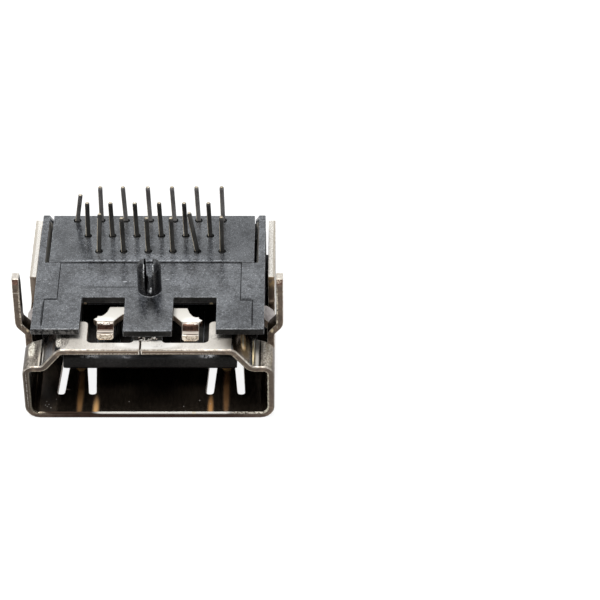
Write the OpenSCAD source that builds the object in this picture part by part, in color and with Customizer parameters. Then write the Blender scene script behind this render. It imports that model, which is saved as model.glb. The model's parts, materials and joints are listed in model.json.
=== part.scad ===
// Right-angle board socket for a nineteen-contact digital video plug.
// It lies on the wide side of its shell, as it comes out of its tray: mouth towards -Y,
// board side and tails upwards. Sizes called "y" count backwards from the front lip.

/* [Board] */
// Thickness of the board that the part is made for
board_t = 1.6; // [1.2:0.1:1.6]
// How far the legs, the peg and the tails come out of that board
leg_out = 0.68; // [0.4:0.02:0.9]
peg_out = 0.55; // [0.4:0.05:0.7]
tail_out = 1.08; // [0.8:0.02:1.2]

/* [Sheet metal] */
// Thickness of the shell's sheet
sheet = 0.42; // [0.36:0.01:0.46]
// Depth of the shell, from the lip to the back of the rear flap
shell_l = 12.6; // [12.4:0.1:13]
// Outside bend radius where the wide side meets the side walls
wide_bend_r = 0.85; // [0.6:0.05:1]
// Outside bend radius of the shoulders
shoulder_bend_r = 0.6; // [0.5:0.05:0.65]
// Outside bend radius where the sloping walls meet the narrow side
narrow_bend_r = 0.6; // [0.5:0.05:0.8]
// Bend radius at the foot of each sloping wall
slope_bend_r = 0.4; // [0.3:0.05:0.45]

/* [Mouth] */
// Clear width between the side walls
mouth_w = 14.1; // [14:0.05:14.3]
// Clear height between the wide and the narrow side
mouth_h = 4.57; // [4.5:0.01:4.7]
// Height of the shoulders over the wide side, outside
shoulder_z = 4.08; // [3.9:0.02:4.2]
// Width between the feet of the sloping walls, outside
slope_foot_w = 12.68; // [12.56:0.04:12.84]
// Width of the narrow side, outside
narrow_w = 10.6; // [10.4:0.1:10.8]
// How much nearer to the middle the right sloping wall stands than the left one
slope_in = 0.16; // [0:0.02:0.2]
// Depth of the D-shaped collar
collar_l = 2.6; // [2.5:0.05:2.65]
// How much shorter the collar is at its outer edges
collar_slant = 0.38; // [0.2:0.02:0.4]

/* [Side walls] */
// Height of the side walls beside the tails
wall_z = 5.15; // [4.9:0.05:5.4]
// How far the high part of each side wall starts in front of the contact wall
wall_lead = 0.07; // [0:0.01:0.2]
// Height of the side walls in the low stretch
low_wall_z = 3.25; // [3:0.05:3.4]

/* [Board legs] */
// Front edge of each leg, y
leg_y = 2.72; // [2.65:0.02:2.8]
// Width of a leg along the shell
leg_w = 1; // [0.9:0.05:1.1]
// How far a leg steps out of its side wall
leg_step = 0.53; // [0.45:0.02:0.6]
// Height at which the step begins
leg_step_z = 4.25; // [4.1:0.05:4.4]

/* [Holding tabs] */
// Front edge of the tab that holds the insulator, y
tab_y = 3.8; // [3.78:0.02:3.9]
// Length of the tab along the shell
tab_l = 1.5; // [1.2:0.1:1.6]
// Height at which the tab bends inwards
tab_bend_z = 3.85; // [3.7:0.05:3.95]
// Angle that the tab leans inwards
tab_lean = 42; // [35:1:45]

/* [Narrow side springs] */
// Depth of the band in front of the spring windows
band_l = 0.68; // [0.6:0.02:0.9]
// Half width between the outer edges of the two windows
window_x = 3.6; // [3.5:0.01:3.7]
// Width of the bridge between the windows
bridge_w = 1.7; // [1.6:0.05:1.8]
// Distance of the joint between the sheet's two ends from the middle
seam_x = 0.42; // [0.35:0.01:0.5]
// Gap between the sheet's two ends
seam_gap = 0.08; // [0.05:0.01:0.1]
// Width of a spring finger
finger_w = 1.02; // [0.9:0.02:1.1]
// Distance of a finger's middle from the middle of the shell
finger_x = 2.6; // [2.5:0.02:2.7]
// Free end of a finger, y
finger_end_y = 1.87; // [1.7:0.01:1.95]
// How far a finger dips into the mouth
finger_dip = 0.43; // [0.38:0.01:0.5]
// How far the right finger sits nearer to the middle than the left one, and further forward
finger_shift = 0.12; // [0:0.02:0.14]

/* [Wide side springs] */
// Distance of a spring's middle from the middle of the shell
spring_x = 4.5; // [4.4:0.01:4.6]
// Width of a spring at its root
spring_root_w = 1.49; // [1.4:0.01:1.6]
// Width of a spring's straight free stretch
spring_tip_w = 0.98; // [0.9:0.01:1.1]
// Width of the slots beside a spring
slot_w = 0.44; // [0.4:0.01:0.48]
// Front end of the slots, y
slot_front_y = 1.66; // [1.6:0.02:2]
// Rear edge of a spring's window, y
slot_rear_y = 6.55; // [6.3:0.05:6.8]
// Clear space behind a spring's free end
slot_rear_gap = 0.76; // [0.6:0.02:0.9]
// How far a spring rises into the mouth
spring_rise = 0.45; // [0.3:0.05:0.55]

/* [Rear of the shell] */
// Half width of the rear flap
flap_x = 4; // [3.8:0.1:4.2]
// Length of the corner notches along the shell
notch_l = 1.6; // [1.4:0.05:1.7]
// Width of a corner notch, from the side wall's outer face
notch_w = 1.83; // [1.7:0.01:1.9]
// Free space between the back row of tails and the rear flap
rear_room = 0.98; // [0.9:0.02:1.2]

/* [Insulator] */
// Height of the face that lies on the board
board_z = 6.24; // [6.2:0.02:6.4]
// Thickness of the insulator's top plate
plate_t = 0.44; // [0.38:0.02:0.5]
// Gap between the insulator and each side wall of the shell
plate_gap = 0.17; // [0.15:0.01:0.25]
// Front edge of the top plate, y
plate_front_y = 0.95; // [0.9:0.05:1.2]
// Length of the insulator behind the back row of tails
plate_tail = 0.54; // [0.5:0.02:0.7]
// How far the middle of the plate stands forward of the rest
nose_l = 0.18; // [0.1:0.02:0.3]
// Half width of that middle stretch
nose_x = 1.44; // [1.38:0.01:1.5]
// Half width between the outer edges of the two windows in the plate
plate_window_x = 4.03; // [3.9:0.01:4.1]
// Rear edge of those windows, y
plate_window_y = 3.87; // [3.8:0.01:4]
// Thickness of the rails beside the tail plate
rail_t = 0.4; // [0.38:0.01:0.46]
// How much thicker a rail is at the foot of its inner face
rail_draft = 0.14; // [0.1:0.01:0.16]
// Distance from the front of the contact wall to the front row of tails
base_room = 1.08; // [1:0.02:1.2]
// Thickness of that wall
base_t = 0.7; // [0.6:0.02:0.74]

/* [Tongue] */
// Width of the contact tongue
tongue_w = 10.44; // [10.4:0.02:10.5]
// How much of that width the chamfers of its lower corners take on each side
tongue_corner = 0.12; // [0.08:0.01:0.14]
// Thickness of the contact tongue
tongue_t = 1.2; // [1.1:0.02:1.3]
// Underside of the tongue over the wide side, outside
tongue_z = 2.03; // [2:0.01:2.2]
// Front of the tongue, y
tongue_y = 2; // [1.9:0.05:2.3]
// How far the contacts start behind the front of the tongue
contact_setback = 0.4; // [0.3:0.05:0.6]
// Edge chamfer at the front of the tongue
tongue_chamfer = 0.22; // [0.15:0.01:0.3]

/* [Locating peg] */
// Radius of the peg
peg_r = 0.72; // [0.7:0.01:0.74]
// Middle of the peg, y
peg_y = 4.6; // [4.5:0.05:4.8]
// Width of the slot at the top of the peg
peg_slot_w = 0.48; // [0.4:0.02:0.48]

/* [Tail plate] */
// Thickness of the plate that lines up the tails
aligner_t = 1.3; // [1.1:0.05:1.4]
// Gap between the tail plate and each rail
aligner_side_gap = 0.26; // [0.2:0.01:0.3]
// Clearance in front of the tail plate, behind it and under the lugs
aligner_gap = 0.04; // [0.02:0.01:0.06]
// Radius of the tail holes
tail_hole_r = 0.24; // [0.23:0.01:0.27]

/* [Contacts] */
// Number of contacts
contact_count = 19; // [19]
// Spacing of neighbouring contacts along the tongue
contact_pitch = 0.5; // [0.49:0.01:0.51]
// Thickness of the contact strip
contact_t = 0.22; // [0.2:0.01:0.24]
// Width of a contact
contact_w = 0.27; // [0.24:0.01:0.28]
// Spacing of the tails along a row
tail_pitch = 1.5; // [1.48:0.01:1.52]
// Distance between two rows of tails
row_pitch = 1.5; // [1.48:0.01:1.52]
// Sideways offset of the tail pattern
tail_offset = -0.25; // [-0.27:0.01:-0.23]
// How much stouter a contact is on each side where it passes through the tail plate
shank = 0.02; // [0.01:0.01:0.03]

/* [Hidden] */
CONTACTS = [for (i = [1:contact_count]) str("contact_", i < 10 ? "0" : "", i)];

// Number of straight steps in a bend, and of sides on the peg and the tail holes
bend_steps = 5;
peg_sides = 48;
hole_sides = 20;
// Spare length with which a cut runs past a face
past = 1;
// Length over which two stretches of one sheet share their metal
lap = 0.15;

outer_x = mouth_w / 2 + sheet;
outer_z = mouth_h + 2 * sheet;
wall_mid_x = outer_x - sheet / 2;
top_mid_z = outer_z - sheet / 2;
leg_tip_z = board_z + board_t + leg_out;
peg_h = board_t + peg_out;
tail_l = board_t + tail_out;
notch_x = outer_x - notch_w;
back_row_y = shell_l - sheet - rear_room;
front_row_y = back_row_y - 2 * row_pitch;
base_y = front_row_y - base_room;
wall_y = base_y - wall_lead;
plate_under_z = board_z - plate_t;
plate_w = mouth_w - 2 * plate_gap;
plate_rear_y = back_row_y + plate_tail;
rail_x = plate_w / 2 - rail_t;
aligner_x = rail_x - aligner_side_gap;
aligner_z = board_z - aligner_t;
aligner_front_y = base_y + aligner_gap;
aligner_rear_y = plate_rear_y - aligner_gap;
tail_mid_z = board_z - aligner_gap;

// Lean of the tails, in degrees, from left to right: sideways, then backwards.
// Three of them are bent, the others stand almost straight.
BACK_LEAN = [[8, -14], [0.5, 0.5], [-2, 0.5], [-1.5, 0.5], [-2, 0.5], [-2, 0.5], [-1, 0.5]];
MIDDLE_LEAN = [[1.5, -1], [-0.5, -1], [-1, -1], [-1.5, -1], [-1, -1], [-1.5, -1]];
FRONT_LEAN = [[3, 9], [-0.5, -0.5], [-0.5, -0.5], [-1, -0.5], [-10.5, 13.5], [0, 1.5]];
LEANS = [FRONT_LEAN, MIDDLE_LEAN, BACK_LEAN];

// Outline helpers

function unit(v) = v / norm(v);
function left_of(v) = [-v.y, v.x];

// Arc that rounds corner b between its neighbours a and c
function corner(a, b, c, r) =
    let (u = unit(a - b), w = unit(c - b), half = acos(max(-1, min(1, u * w))) / 2)
    r <= 0 || half > 89.9 ? [b] :
    let (middle = b + unit(u + w) * (r / sin(half)),
         from = b + u * (r / tan(half)) - middle,
         to = b + w * (r / tan(half)) - middle,
         start = atan2(from.y, from.x),
         turn = (atan2(to.y, to.x) - start + 540) % 360 - 180)
    [for (i = [0:bend_steps]) middle + r * [cos(start + turn * i / bend_steps), sin(start + turn * i / bend_steps)]];

// Closed outline with each corner rounded by its own radius
function rounded(pts, radii) =
    [for (i = [0:len(pts) - 1])
        each corner(pts[(i + len(pts) - 1) % len(pts)], pts[i], pts[(i + 1) % len(pts)], radii[i])];

// Corner moved sideways by d, to the left of the path through a, b and c
function shifted(a, b, c, d) =
    let (n = left_of(unit(b - a)), m = left_of(unit(c - b))) b + (n + m) * d / (1 + n * m);

// Closed counter-clockwise outline moved inwards by the sheet's thickness, and its corner radii
function inset(pts, d) =
    [for (i = [0:len(pts) - 1])
        shifted(pts[(i + len(pts) - 1) % len(pts)], pts[i], pts[(i + 1) % len(pts)], d)];
function inset_radii(pts, radii, d) =
    [for (i = [0:len(pts) - 1])
        let (a = pts[(i + len(pts) - 1) % len(pts)], b = pts[i], c = pts[(i + 1) % len(pts)])
        radii[i] == 0 ? 0 : radii[i] - d * sign(cross(b - a, c - b))];

// One side of a folded strip: the path moved sideways by d, its bends rounded
function strip_side(path, radii, d) =
    let (n = len(path) - 1,
         side = [for (i = [0:n])
             i == 0 ? path[0] + left_of(unit(path[1] - path[0])) * d :
             i == n ? path[n] + left_of(unit(path[n] - path[n - 1])) * d :
             shifted(path[i - 1], path[i], path[i + 1], d)])
    [for (i = [0:n])
        each (i == 0 || i == n ? [side[i]] :
            corner(side[i - 1], side[i], side[i + 1],
                radii[i - 1] - d * sign(cross(path[i] - path[i - 1], path[i + 1] - path[i]))))];

// Edge view of a strip of sheet folded along a path, with a middle radius for each bend
function folded(path, radii, t) =
    let (far = strip_side(path, radii, -t / 2))
    concat(strip_side(path, radii, t / 2), [for (i = [len(far) - 1:-1:0]) far[i]]);

// Solids from outlines

// A front-view outline (x, z) drawn backwards from y0 to y1
module lengthwise(y0, y1) { translate([0, y1, 0]) rotate([90, 0, 0]) linear_extrude(y1 - y0) children(); }
// A side-view outline (y, z) drawn across from x0 to x1
module across(x0, x1) { translate([x0, 0, 0]) rotate([90, 0, 90]) linear_extrude(x1 - x0) children(); }
// A plan outline (x, y) drawn upwards from z0 to z1
module upwards(z0, z1) { translate([0, 0, z0]) linear_extrude(z1 - z0) children(); }
// A box between two corners
module block(from, to) { translate(from) cube(to - from); }
// What is drawn, and its mirror image on the left
module both_sides() { children(); mirror([1, 0, 0]) children(); }
// From sizes counted backwards from the lip to the part's own frame
module from_lip() { translate([0, -shell_l / 2, 0]) children(); }

// Shell

// Outside of the mouth, seen from the front, counter-clockwise from the lower right corner
mouth_pts = [
    [outer_x, 0], [outer_x, shoulder_z], [slope_foot_w / 2 - slope_in, shoulder_z], [narrow_w / 2 - slope_in, outer_z],
    [-narrow_w / 2, outer_z], [-slope_foot_w / 2, shoulder_z], [-outer_x, shoulder_z], [-outer_x, 0]];
mouth_radii = [wide_bend_r, shoulder_bend_r, slope_bend_r, narrow_bend_r,
    narrow_bend_r, slope_bend_r, shoulder_bend_r, wide_bend_r];
// The same for the clear inside
clear_pts = inset(mouth_pts, sheet);
clear_radii = inset_radii(mouth_pts, mouth_radii, sheet);

module collar() {
    lengthwise(0, collar_l) difference() {
        polygon(rounded(mouth_pts, mouth_radii));
        polygon(rounded(clear_pts, clear_radii));
    }
}

// Wide side with both side walls, seen from the front
tray_path = [
    [-wall_mid_x, wall_z], [-wall_mid_x, sheet / 2], [wall_mid_x, sheet / 2], [wall_mid_x, wall_z]];
// Top edge of the side walls, seen from the side: cut down behind the collar, beside the leg,
// behind the tab, and up again beside the tails
relief_z = 3.1;
wall_pts = [
    [collar_l - lap, -past], [shell_l + past, -past], [shell_l + past, wall_z], [wall_y, wall_z],
    [wall_y, low_wall_z], [tab_y + tab_l, low_wall_z], [tab_y + tab_l, tab_bend_z], [tab_y, tab_bend_z],
    [tab_y, low_wall_z], [leg_y + leg_w, low_wall_z], [leg_y + leg_w, leg_step_z], [leg_y, leg_step_z],
    [leg_y, relief_z], [collar_l - lap, relief_z]];
wall_radii = [0, 0, 0, 0.1, 0.25, 0.15, 0, 0, 0, 0, 0, 0, 0.12, 0];

module tray() {
    intersection() {
        lengthwise(collar_l - lap, shell_l)
            polygon(folded(tray_path, [wide_bend_r - sheet / 2, wide_bend_r - sheet / 2], sheet));
        across(-outer_x - past, outer_x + past) polygon(rounded(wall_pts, wall_radii));
    }
}

// The shoulders end in a slant, and a slit parts them from the side walls behind them
module collar_relief() {
    both_sides() upwards(relief_z, shoulder_z + past / 4) polygon([
        [slope_foot_w / 2 - 0.15, collar_l], [outer_x - 0.3, collar_l - collar_slant],
        [outer_x + past, collar_l - collar_slant], [outer_x + past, collar_l + past],
        [slope_foot_w / 2 - 0.15, collar_l + past]]);
}

// Window of one narrow-side spring, open to the back; the strip beside it ends in a round corner
strip_end_r = 0.28;
module finger_window() {
    upwards(outer_z - sheet - past / 4, outer_z + past)
        polygon(rounded(
            concat([[bridge_w / 2, collar_l + past], [bridge_w / 2, band_l], [window_x, band_l]],
                [for (turn = [180:-18:90]) [window_x + strip_end_r + strip_end_r * cos(turn),
                    collar_l - strip_end_r + strip_end_r * sin(turn)]],
                [[window_x + strip_end_r, collar_l + past]]),
            [0, 0.26, 0.3, 0, 0, 0, 0, 0, 0, 0]));
}

// Bridge with a spring finger on each side: flat arms first, then the bent fingers
arm_front_y = 3.3;
arm_rear_y = 3.95;
bridge_end_y = 4.4;
finger_flat_y = 2.62;
// Plan outlines of the right arm and finger; the middle of the bridge is at x = 0
arm_pts = [
    [0, arm_front_y + 0.1], [bridge_w / 2, arm_front_y + 0.1], [finger_x - finger_w / 2 - 0.5, arm_front_y - 0.05],
    [finger_x - finger_w / 2, finger_flat_y + 0.02], [finger_x - finger_w / 2, finger_flat_y],
    [finger_x + finger_w / 2, finger_flat_y], [finger_x + finger_w / 2 + 0.22, finger_flat_y + 0.2],
    [finger_x + finger_w / 2 - 0.08, finger_flat_y + 0.42], [finger_x + finger_w / 2 - 0.36, finger_flat_y + 0.56],
    [finger_x + finger_w / 2 - 0.57, finger_flat_y + 0.86], [finger_x + finger_w / 2 - 0.72, arm_rear_y],
    [0, arm_rear_y]];
arm_radii = [0, 0, 0.3, 0, 0, 0, 0.04, 0.4, 0.4, 0.4, 0.06, 0];
finger_pts = [
    [finger_x - finger_w / 2, finger_end_y - past], [finger_x + finger_w / 2, finger_end_y - past],
    [finger_x + finger_w / 2, finger_flat_y + 0.5], [finger_x - finger_w / 2, finger_flat_y + 0.5]];
finger_path = [
    [finger_flat_y + 0.5, top_mid_z], [finger_flat_y, top_mid_z], [finger_flat_y - 0.14, top_mid_z - finger_dip],
    [finger_end_y, top_mid_z - finger_dip + 0.02]];
module spring_arm() {
    upwards(outer_z - sheet, outer_z) polygon(rounded(arm_pts, arm_radii));
}
module finger() {
    difference() {
        across(finger_x - finger_w / 2, finger_x + finger_w / 2) polygon(folded(finger_path, [0.26, 0.26], sheet));
        for (side = [-1, 1]) translate([finger_x + side * finger_w / 2, 0, top_mid_z - finger_dip - sheet / 2])
            rotate([0, 45, 0]) cube([0.22, 2 * (finger_end_y + 0.2), 0.22], center = true);
    }
}
module fingers() {
    mirror([1, 0, 0]) {
        spring_arm();
        finger();
    }
    translate([-finger_shift, -finger_shift, 0]) {
        spring_arm();
        finger();
    }
}
module bridge() {
    block([-bridge_w / 2, collar_l - lap, outer_z - sheet], [bridge_w / 2, bridge_end_y, outer_z]);
}

// Joint between the sheet's two ends: a straight gap with a dovetail halfway
dovetail_y = [1.15, 2.05];
dovetail_l = 0.62;
module seam() {
    upwards(outer_z - sheet - past / 4, outer_z + past) polygon(folded(
        [[-seam_x, -past], [-seam_x, dovetail_y[0]], [-seam_x + dovetail_l, dovetail_y[0] - 0.12],
         [-seam_x + dovetail_l, dovetail_y[1] + 0.12], [-seam_x, dovetail_y[1]], [-seam_x, bridge_end_y + past]],
        [0.08, 0.12, 0.12, 0.08], seam_gap));
}

// Board leg: steps out of the side wall, then rises through the board and ends in a sheared point
leg_path = [
    [wall_mid_x, low_wall_z - lap], [wall_mid_x, leg_step_z + 0.1],
    [wall_mid_x + leg_step, leg_step_z + leg_step + 0.2], [wall_mid_x + leg_step, leg_tip_z + past]];
module leg() {
    intersection() {
        lengthwise(leg_y, leg_y + leg_w) polygon(folded(leg_path, [0.45, 0.6], sheet));
        across(0, outer_x + past) polygon([
            [leg_y, 0], [leg_y + leg_w, 0], [leg_y + leg_w, leg_tip_z - 0.85], [leg_y + leg_w - 0.34, leg_tip_z],
            [leg_y + 0.1, leg_tip_z - 0.03], [leg_y + 0.04, leg_tip_z - 0.42], [leg_y + 0.04, leg_tip_z - 0.9],
            [leg_y, leg_tip_z - 0.95]]);
    }
}

// Tab that leans inwards over a ledge of the insulator
tab_rise = 0.85;
tab_path = [
    [wall_mid_x, low_wall_z - lap], [wall_mid_x, tab_bend_z],
    [wall_mid_x - tab_rise * sin(tab_lean), tab_bend_z + tab_rise * cos(tab_lean)]];
module tab() {
    intersection() {
        lengthwise(tab_y, tab_y + tab_l) polygon(folded(tab_path, [0.36], sheet));
        across(0, outer_x + past) polygon(rounded(
            [[tab_y - past, 0], [tab_y + tab_l, 0], [tab_y + tab_l, tab_bend_z + tab_rise + 0.1],
             [tab_y - past, tab_bend_z + tab_rise + 0.1]],
            [0, 0, 0.8, 0]));
    }
}

// Spring of the wide side: cut free on three sides, bent into the mouth, its end turned back
spring_mid_y = 4.35;
spring_end_y = slot_rear_y - slot_rear_gap;
spring_flat_y = slot_front_y + 0.45;
// Plan outline of a spring between its slots, widened on each side by "grow"
function spring_pts(grow, front, end) = [
    [-spring_root_w / 2 - grow, front], [spring_root_w / 2 + grow, front],
    [spring_tip_w / 2 + grow, spring_mid_y], [spring_tip_w / 2 + grow, end],
    [-spring_tip_w / 2 - grow, end], [-spring_tip_w / 2 - grow, spring_mid_y]];
module spring_window() {
    translate([spring_x, 0, 0]) upwards(-past, sheet + past / 4) {
        both_sides() polygon(rounded(
            [[spring_root_w / 2, slot_front_y], [spring_root_w / 2 + slot_w, slot_front_y],
             [spring_tip_w / 2 + slot_w, slot_rear_y], [-lap, slot_rear_y], [-lap, spring_end_y],
             [spring_tip_w / 2, spring_end_y], [spring_tip_w / 2, spring_mid_y]],
            [slot_w / 2.4, slot_w / 2.4, 0.3, 0, 0, 0, 0]));
        polygon(spring_pts(slot_w / 2, spring_flat_y, slot_rear_y - slot_rear_gap / 2));
    }
}
spring_path = [
    [spring_flat_y - lap, sheet / 2], [spring_flat_y, sheet / 2], [spring_mid_y + 0.25, sheet / 2 + spring_rise],
    [spring_mid_y + 0.85, sheet / 2 + spring_rise], [spring_end_y, sheet / 2 + spring_rise - 0.2]];
module spring() {
    intersection() {
        across(spring_x - spring_root_w, spring_x + spring_root_w)
            polygon(folded(spring_path, [1.2, 0.5, 0.5], sheet));
        translate([spring_x, 0, 0]) upwards(-past, outer_z)
            polygon(rounded(spring_pts(0, slot_front_y, spring_end_y - 0.02), [0, 0, 0, 0.3, 0.3, 0]));
    }
}

// Flap folded up behind the contacts, with a small relief at each end of its fold
flap_path = [
    [back_row_y, sheet / 2], [shell_l - sheet / 2, sheet / 2], [shell_l - sheet / 2, wall_z - 0.25]];
module flap() {
    across(-flap_x, flap_x) polygon(folded(flap_path, [0.4], sheet));
}
module flap_cut() {
    block([-flap_x, back_row_y + lap, -past], [flap_x, shell_l + past, sheet + past / 4]);
    both_sides() translate([flap_x + 0.15, shell_l, -past]) cylinder(r = 0.15, h = 2 * past + sheet, $fn = hole_sides);
}
notch_corner_r = 0.3;
module corner_notch() {
    upwards(-past, wide_bend_r) polygon(rounded(
        [[notch_x, shell_l + past], [notch_x, shell_l - notch_l], [outer_x + past, shell_l - notch_l],
         [outer_x + past, shell_l + past]],
        [0, notch_corner_r, 0, 0]));
}

module shell() {
    color("silver") from_lip() {
        difference() {
            union() {
                difference() {
                    collar();
                    collar_relief();
                    both_sides() finger_window();
                }
                tray();
                both_sides() {
                    leg();
                    tab();
                }
                bridge();
                fingers();
            }
            both_sides() {
                spring_window();
                corner_notch();
            }
            flap_cut();
            seam();
        }
        both_sides() spring();
        flap();
    }
}

// Insulator

// Roof of the plug space behind the collar follows the collar's inside
roof_z = outer_z + 0.04;
roof_clear = 0.03;
roof_front_y = collar_l + 0.25;
side_block_x = rail_x - aligner_gap;
module top_plate() {
    upwards(plate_under_z, board_z) difference() {
        translate([-plate_w / 2, plate_front_y]) square([plate_w, plate_rear_y - plate_front_y]);
        for (side = [-1, 1]) translate([side * (nose_x + plate_window_x) / 2, 0])
            translate([-(plate_window_x - nose_x) / 2, 0]) square([plate_window_x - nose_x, plate_window_y]);
        translate([-rail_x, base_y]) square([2 * rail_x, plate_rear_y]);
    }
    block([-nose_x, plate_front_y - nose_l, plate_under_z], [nose_x, plate_front_y + lap, board_z]);
}

// Blocks on both sides of the plug space, with the slope of the collar on their inside
function side_pts(top, foot) = [
    [plate_window_x, plate_under_z + lap], [plate_window_x, top.y + roof_clear],
    [abs(top.x), top.y + roof_clear], [abs(foot.x) + roof_clear, foot.y + roof_clear],
    [side_block_x, foot.y + roof_clear], [side_block_x, plate_under_z + lap]];
module side_blocks() {
    lengthwise(roof_front_y, base_y) polygon(side_pts(clear_pts[3], clear_pts[2]));
    mirror([1, 0, 0]) lengthwise(roof_front_y, base_y) polygon(side_pts(clear_pts[4], clear_pts[5]));
}
// Roof between the side blocks, behind the spring arms
module roof() {
    block([-plate_window_x - lap, bridge_end_y + 0.2, clear_pts[3].y + roof_clear],
        [plate_window_x + lap, base_y, plate_under_z + lap]);
}
// Pad in the middle that lies on the bridge of the shell
module bridge_pad() {
    block([-nose_x, plate_front_y + 0.8, outer_z], [nose_x, bridge_end_y + 0.2 + lap, plate_under_z + lap]);
    block([-bridge_w / 2 - 0.03, plate_front_y - nose_l / 2, outer_z],
        [bridge_w / 2 + 0.03, plate_front_y + 0.8 + lap, plate_under_z + lap]);
}

// Wall that carries the contacts, with the rails behind it, their lower corners clear of the bends
rail_pts = [
    [rail_x - rail_draft, sheet], [plate_w / 2 - 0.4, sheet], [plate_w / 2, sheet + 0.45],
    [plate_w / 2, board_z], [rail_x, board_z], [rail_x - rail_draft, aligner_z]];
module base_wall() {
    lengthwise(base_y, base_y + base_t) polygon([
        [-plate_w / 2 + 0.4, sheet], [plate_w / 2 - 0.4, sheet], [plate_w / 2, sheet + 0.45],
        [plate_w / 2, aligner_z], [-plate_w / 2, aligner_z], [-plate_w / 2, sheet + 0.45]]);
}
// Rail, with a sloping lug inside its rear end that keeps the tail plate in
lug_l = 0.45;
module rail() {
    lengthwise(base_y, plate_rear_y) polygon(rail_pts);
    lengthwise(plate_rear_y - lug_l, plate_rear_y) polygon([
        [rail_x + lap, board_z], [rail_x, board_z], [aligner_x + aligner_gap, board_z - 0.36],
        [aligner_x + aligner_gap, aligner_z], [rail_x + lap, aligner_z]]);
}
// Foot that fills the shell's corner notch and stands level with its wide side
foot_z = wall_z - 0.25;
foot_gap = 0.05;
foot_fill_z = 2.4;
module corner_foot() {
    upwards(0, foot_z) polygon(rounded(
        [[notch_x + foot_gap, shell_l - notch_l + foot_gap], [plate_w / 2 - 0.02, shell_l - notch_l + foot_gap],
         [plate_w / 2 - 0.02, shell_l], [notch_x + foot_gap, shell_l]],
        [notch_corner_r, 0, 0, 0]));
    // Its outer side fills the space beside the rail up to the shell's side wall
    block([plate_w / 2 - lap, shell_l - notch_l + foot_gap, 0], [mouth_w / 2 - foot_gap / 2, shell_l, foot_fill_z]);
}

module tongue() {
    difference() {
        lengthwise(tongue_y, base_y + lap) polygon([
            [tongue_corner - tongue_w / 2, tongue_z], [tongue_w / 2 - tongue_corner, tongue_z],
            [tongue_w / 2, tongue_z + 2.5 * tongue_corner], [tongue_w / 2, tongue_z + tongue_t],
            [-tongue_w / 2, tongue_z + tongue_t], [-tongue_w / 2, tongue_z + 2.5 * tongue_corner]]);
        for (end = [0, tongue_t]) translate([0, tongue_y, tongue_z + end]) rotate([45, 0, 0])
            cube([tongue_w + past, tongue_chamfer * sqrt(2), tongue_chamfer * sqrt(2)], center = true);
    }
}

// Slots for the contacts, cut into both faces of the tongue and through the wall behind it
contact_front_y = tongue_y + contact_setback;
slot_side_gap = 0.03;
module contact_slot(i) {
    x = contact_x(i);
    z = beam_z(i);
    block([x - contact_w / 2 - slot_side_gap, contact_front_y - slot_side_gap, z - contact_t / 2 - (is_low(i) ? past / 8 : 0)],
        [x + contact_w / 2 + slot_side_gap, base_y + base_t + past, z + contact_t / 2 + (is_low(i) ? 0 : past / 8)]);
}

// Split peg: two prongs with sloping outer tops, parted by a V
peg_floor_z = board_z + 0.3;
module peg() {
    top = board_z + peg_h;
    translate([0, peg_y, 0]) difference() {
        union() {
            translate([0, 0, board_z - lap]) cylinder(r = peg_r, h = peg_h + lap - 0.3, $fn = peg_sides);
            translate([0, 0, top - 0.3]) cylinder(r1 = peg_r, r2 = peg_r - 0.3, h = 0.3, $fn = peg_sides);
        }
        lengthwise(-peg_r - past, peg_r + past)
            polygon([[0, peg_floor_z], [peg_slot_w / 2 - 0.04, peg_floor_z + 0.26], [peg_slot_w / 2, top + past],
                [-peg_slot_w / 2, top + past], [0.04 - peg_slot_w / 2, peg_floor_z + 0.26]]);
    }
}

// Witness lines that the mould left in the board face, each with a step; left, then right:
// distance of the rear stretch from the tail plate's side, of the front one from the insulator's side
line_w = 0.06;
line_depth = 0.05;
line_inner = [0.72, 0.77];
line_outer = [0.62, 0.7];
line_step_y = [3.65, 3.56];
line_front_y = plate_front_y + 0.35;
module witness_line(from, to) {
    block([min(from.x, to.x) - line_w / 2, min(from.y, to.y) - line_w / 2, board_z - line_depth],
        [max(from.x, to.x) + line_w / 2, max(from.y, to.y) + line_w / 2, board_z + past]);
}
module witness_lines() {
    for (side = [0, 1]) {
        rear_x = (2 * side - 1) * (aligner_x - line_inner[side]);
        front_x = (2 * side - 1) * (plate_w / 2 - line_outer[side]);
        witness_line([rear_x, base_y], [rear_x, line_step_y[side]]);
        witness_line([rear_x, line_step_y[side]], [front_x, line_step_y[side]]);
        witness_line([front_x, line_step_y[side]], [front_x, line_front_y]);
    }
    // A wider one along the edge of the tail plate
    block([line_inner[0] - aligner_x, base_y - 0.09, board_z - 2 * line_depth],
        [aligner_x - line_inner[1], base_y + past, board_z + past]);
}

module insulator() {
    color("#2b3036") from_lip() {
        difference() {
            union() {
                top_plate();
                side_blocks();
                roof();
                bridge_pad();
                base_wall();
                both_sides() {
                    rail();
                    corner_foot();
                }
                tongue();
            }
            for (i = [0:contact_count - 1]) contact_slot(i);
            witness_lines();
        }
        peg();
    }
}

// Tail plate

module tail_plate() {
    color("#33383e") from_lip() difference() {
        block([-aligner_x, aligner_front_y, aligner_z], [aligner_x, aligner_rear_y, board_z]);
        for (i = [0:contact_count - 1])
            translate([tail_x(i), tail_y(i), aligner_z - past])
                cylinder(r = tail_hole_r, h = aligner_t + 2 * past, $fn = hole_sides);
    }
}

// Contacts: even ones lie under the tongue, odd ones on top of it

function is_low(i) = i % 2 == 0;
function contact_x(i) = (i - (contact_count - 1) / 2) * contact_pitch;
function beam_z(i) = is_low(i) ? tongue_z + contact_t / 2 - 0.02 : tongue_z + tongue_t - contact_t / 2 + 0.02;
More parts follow.
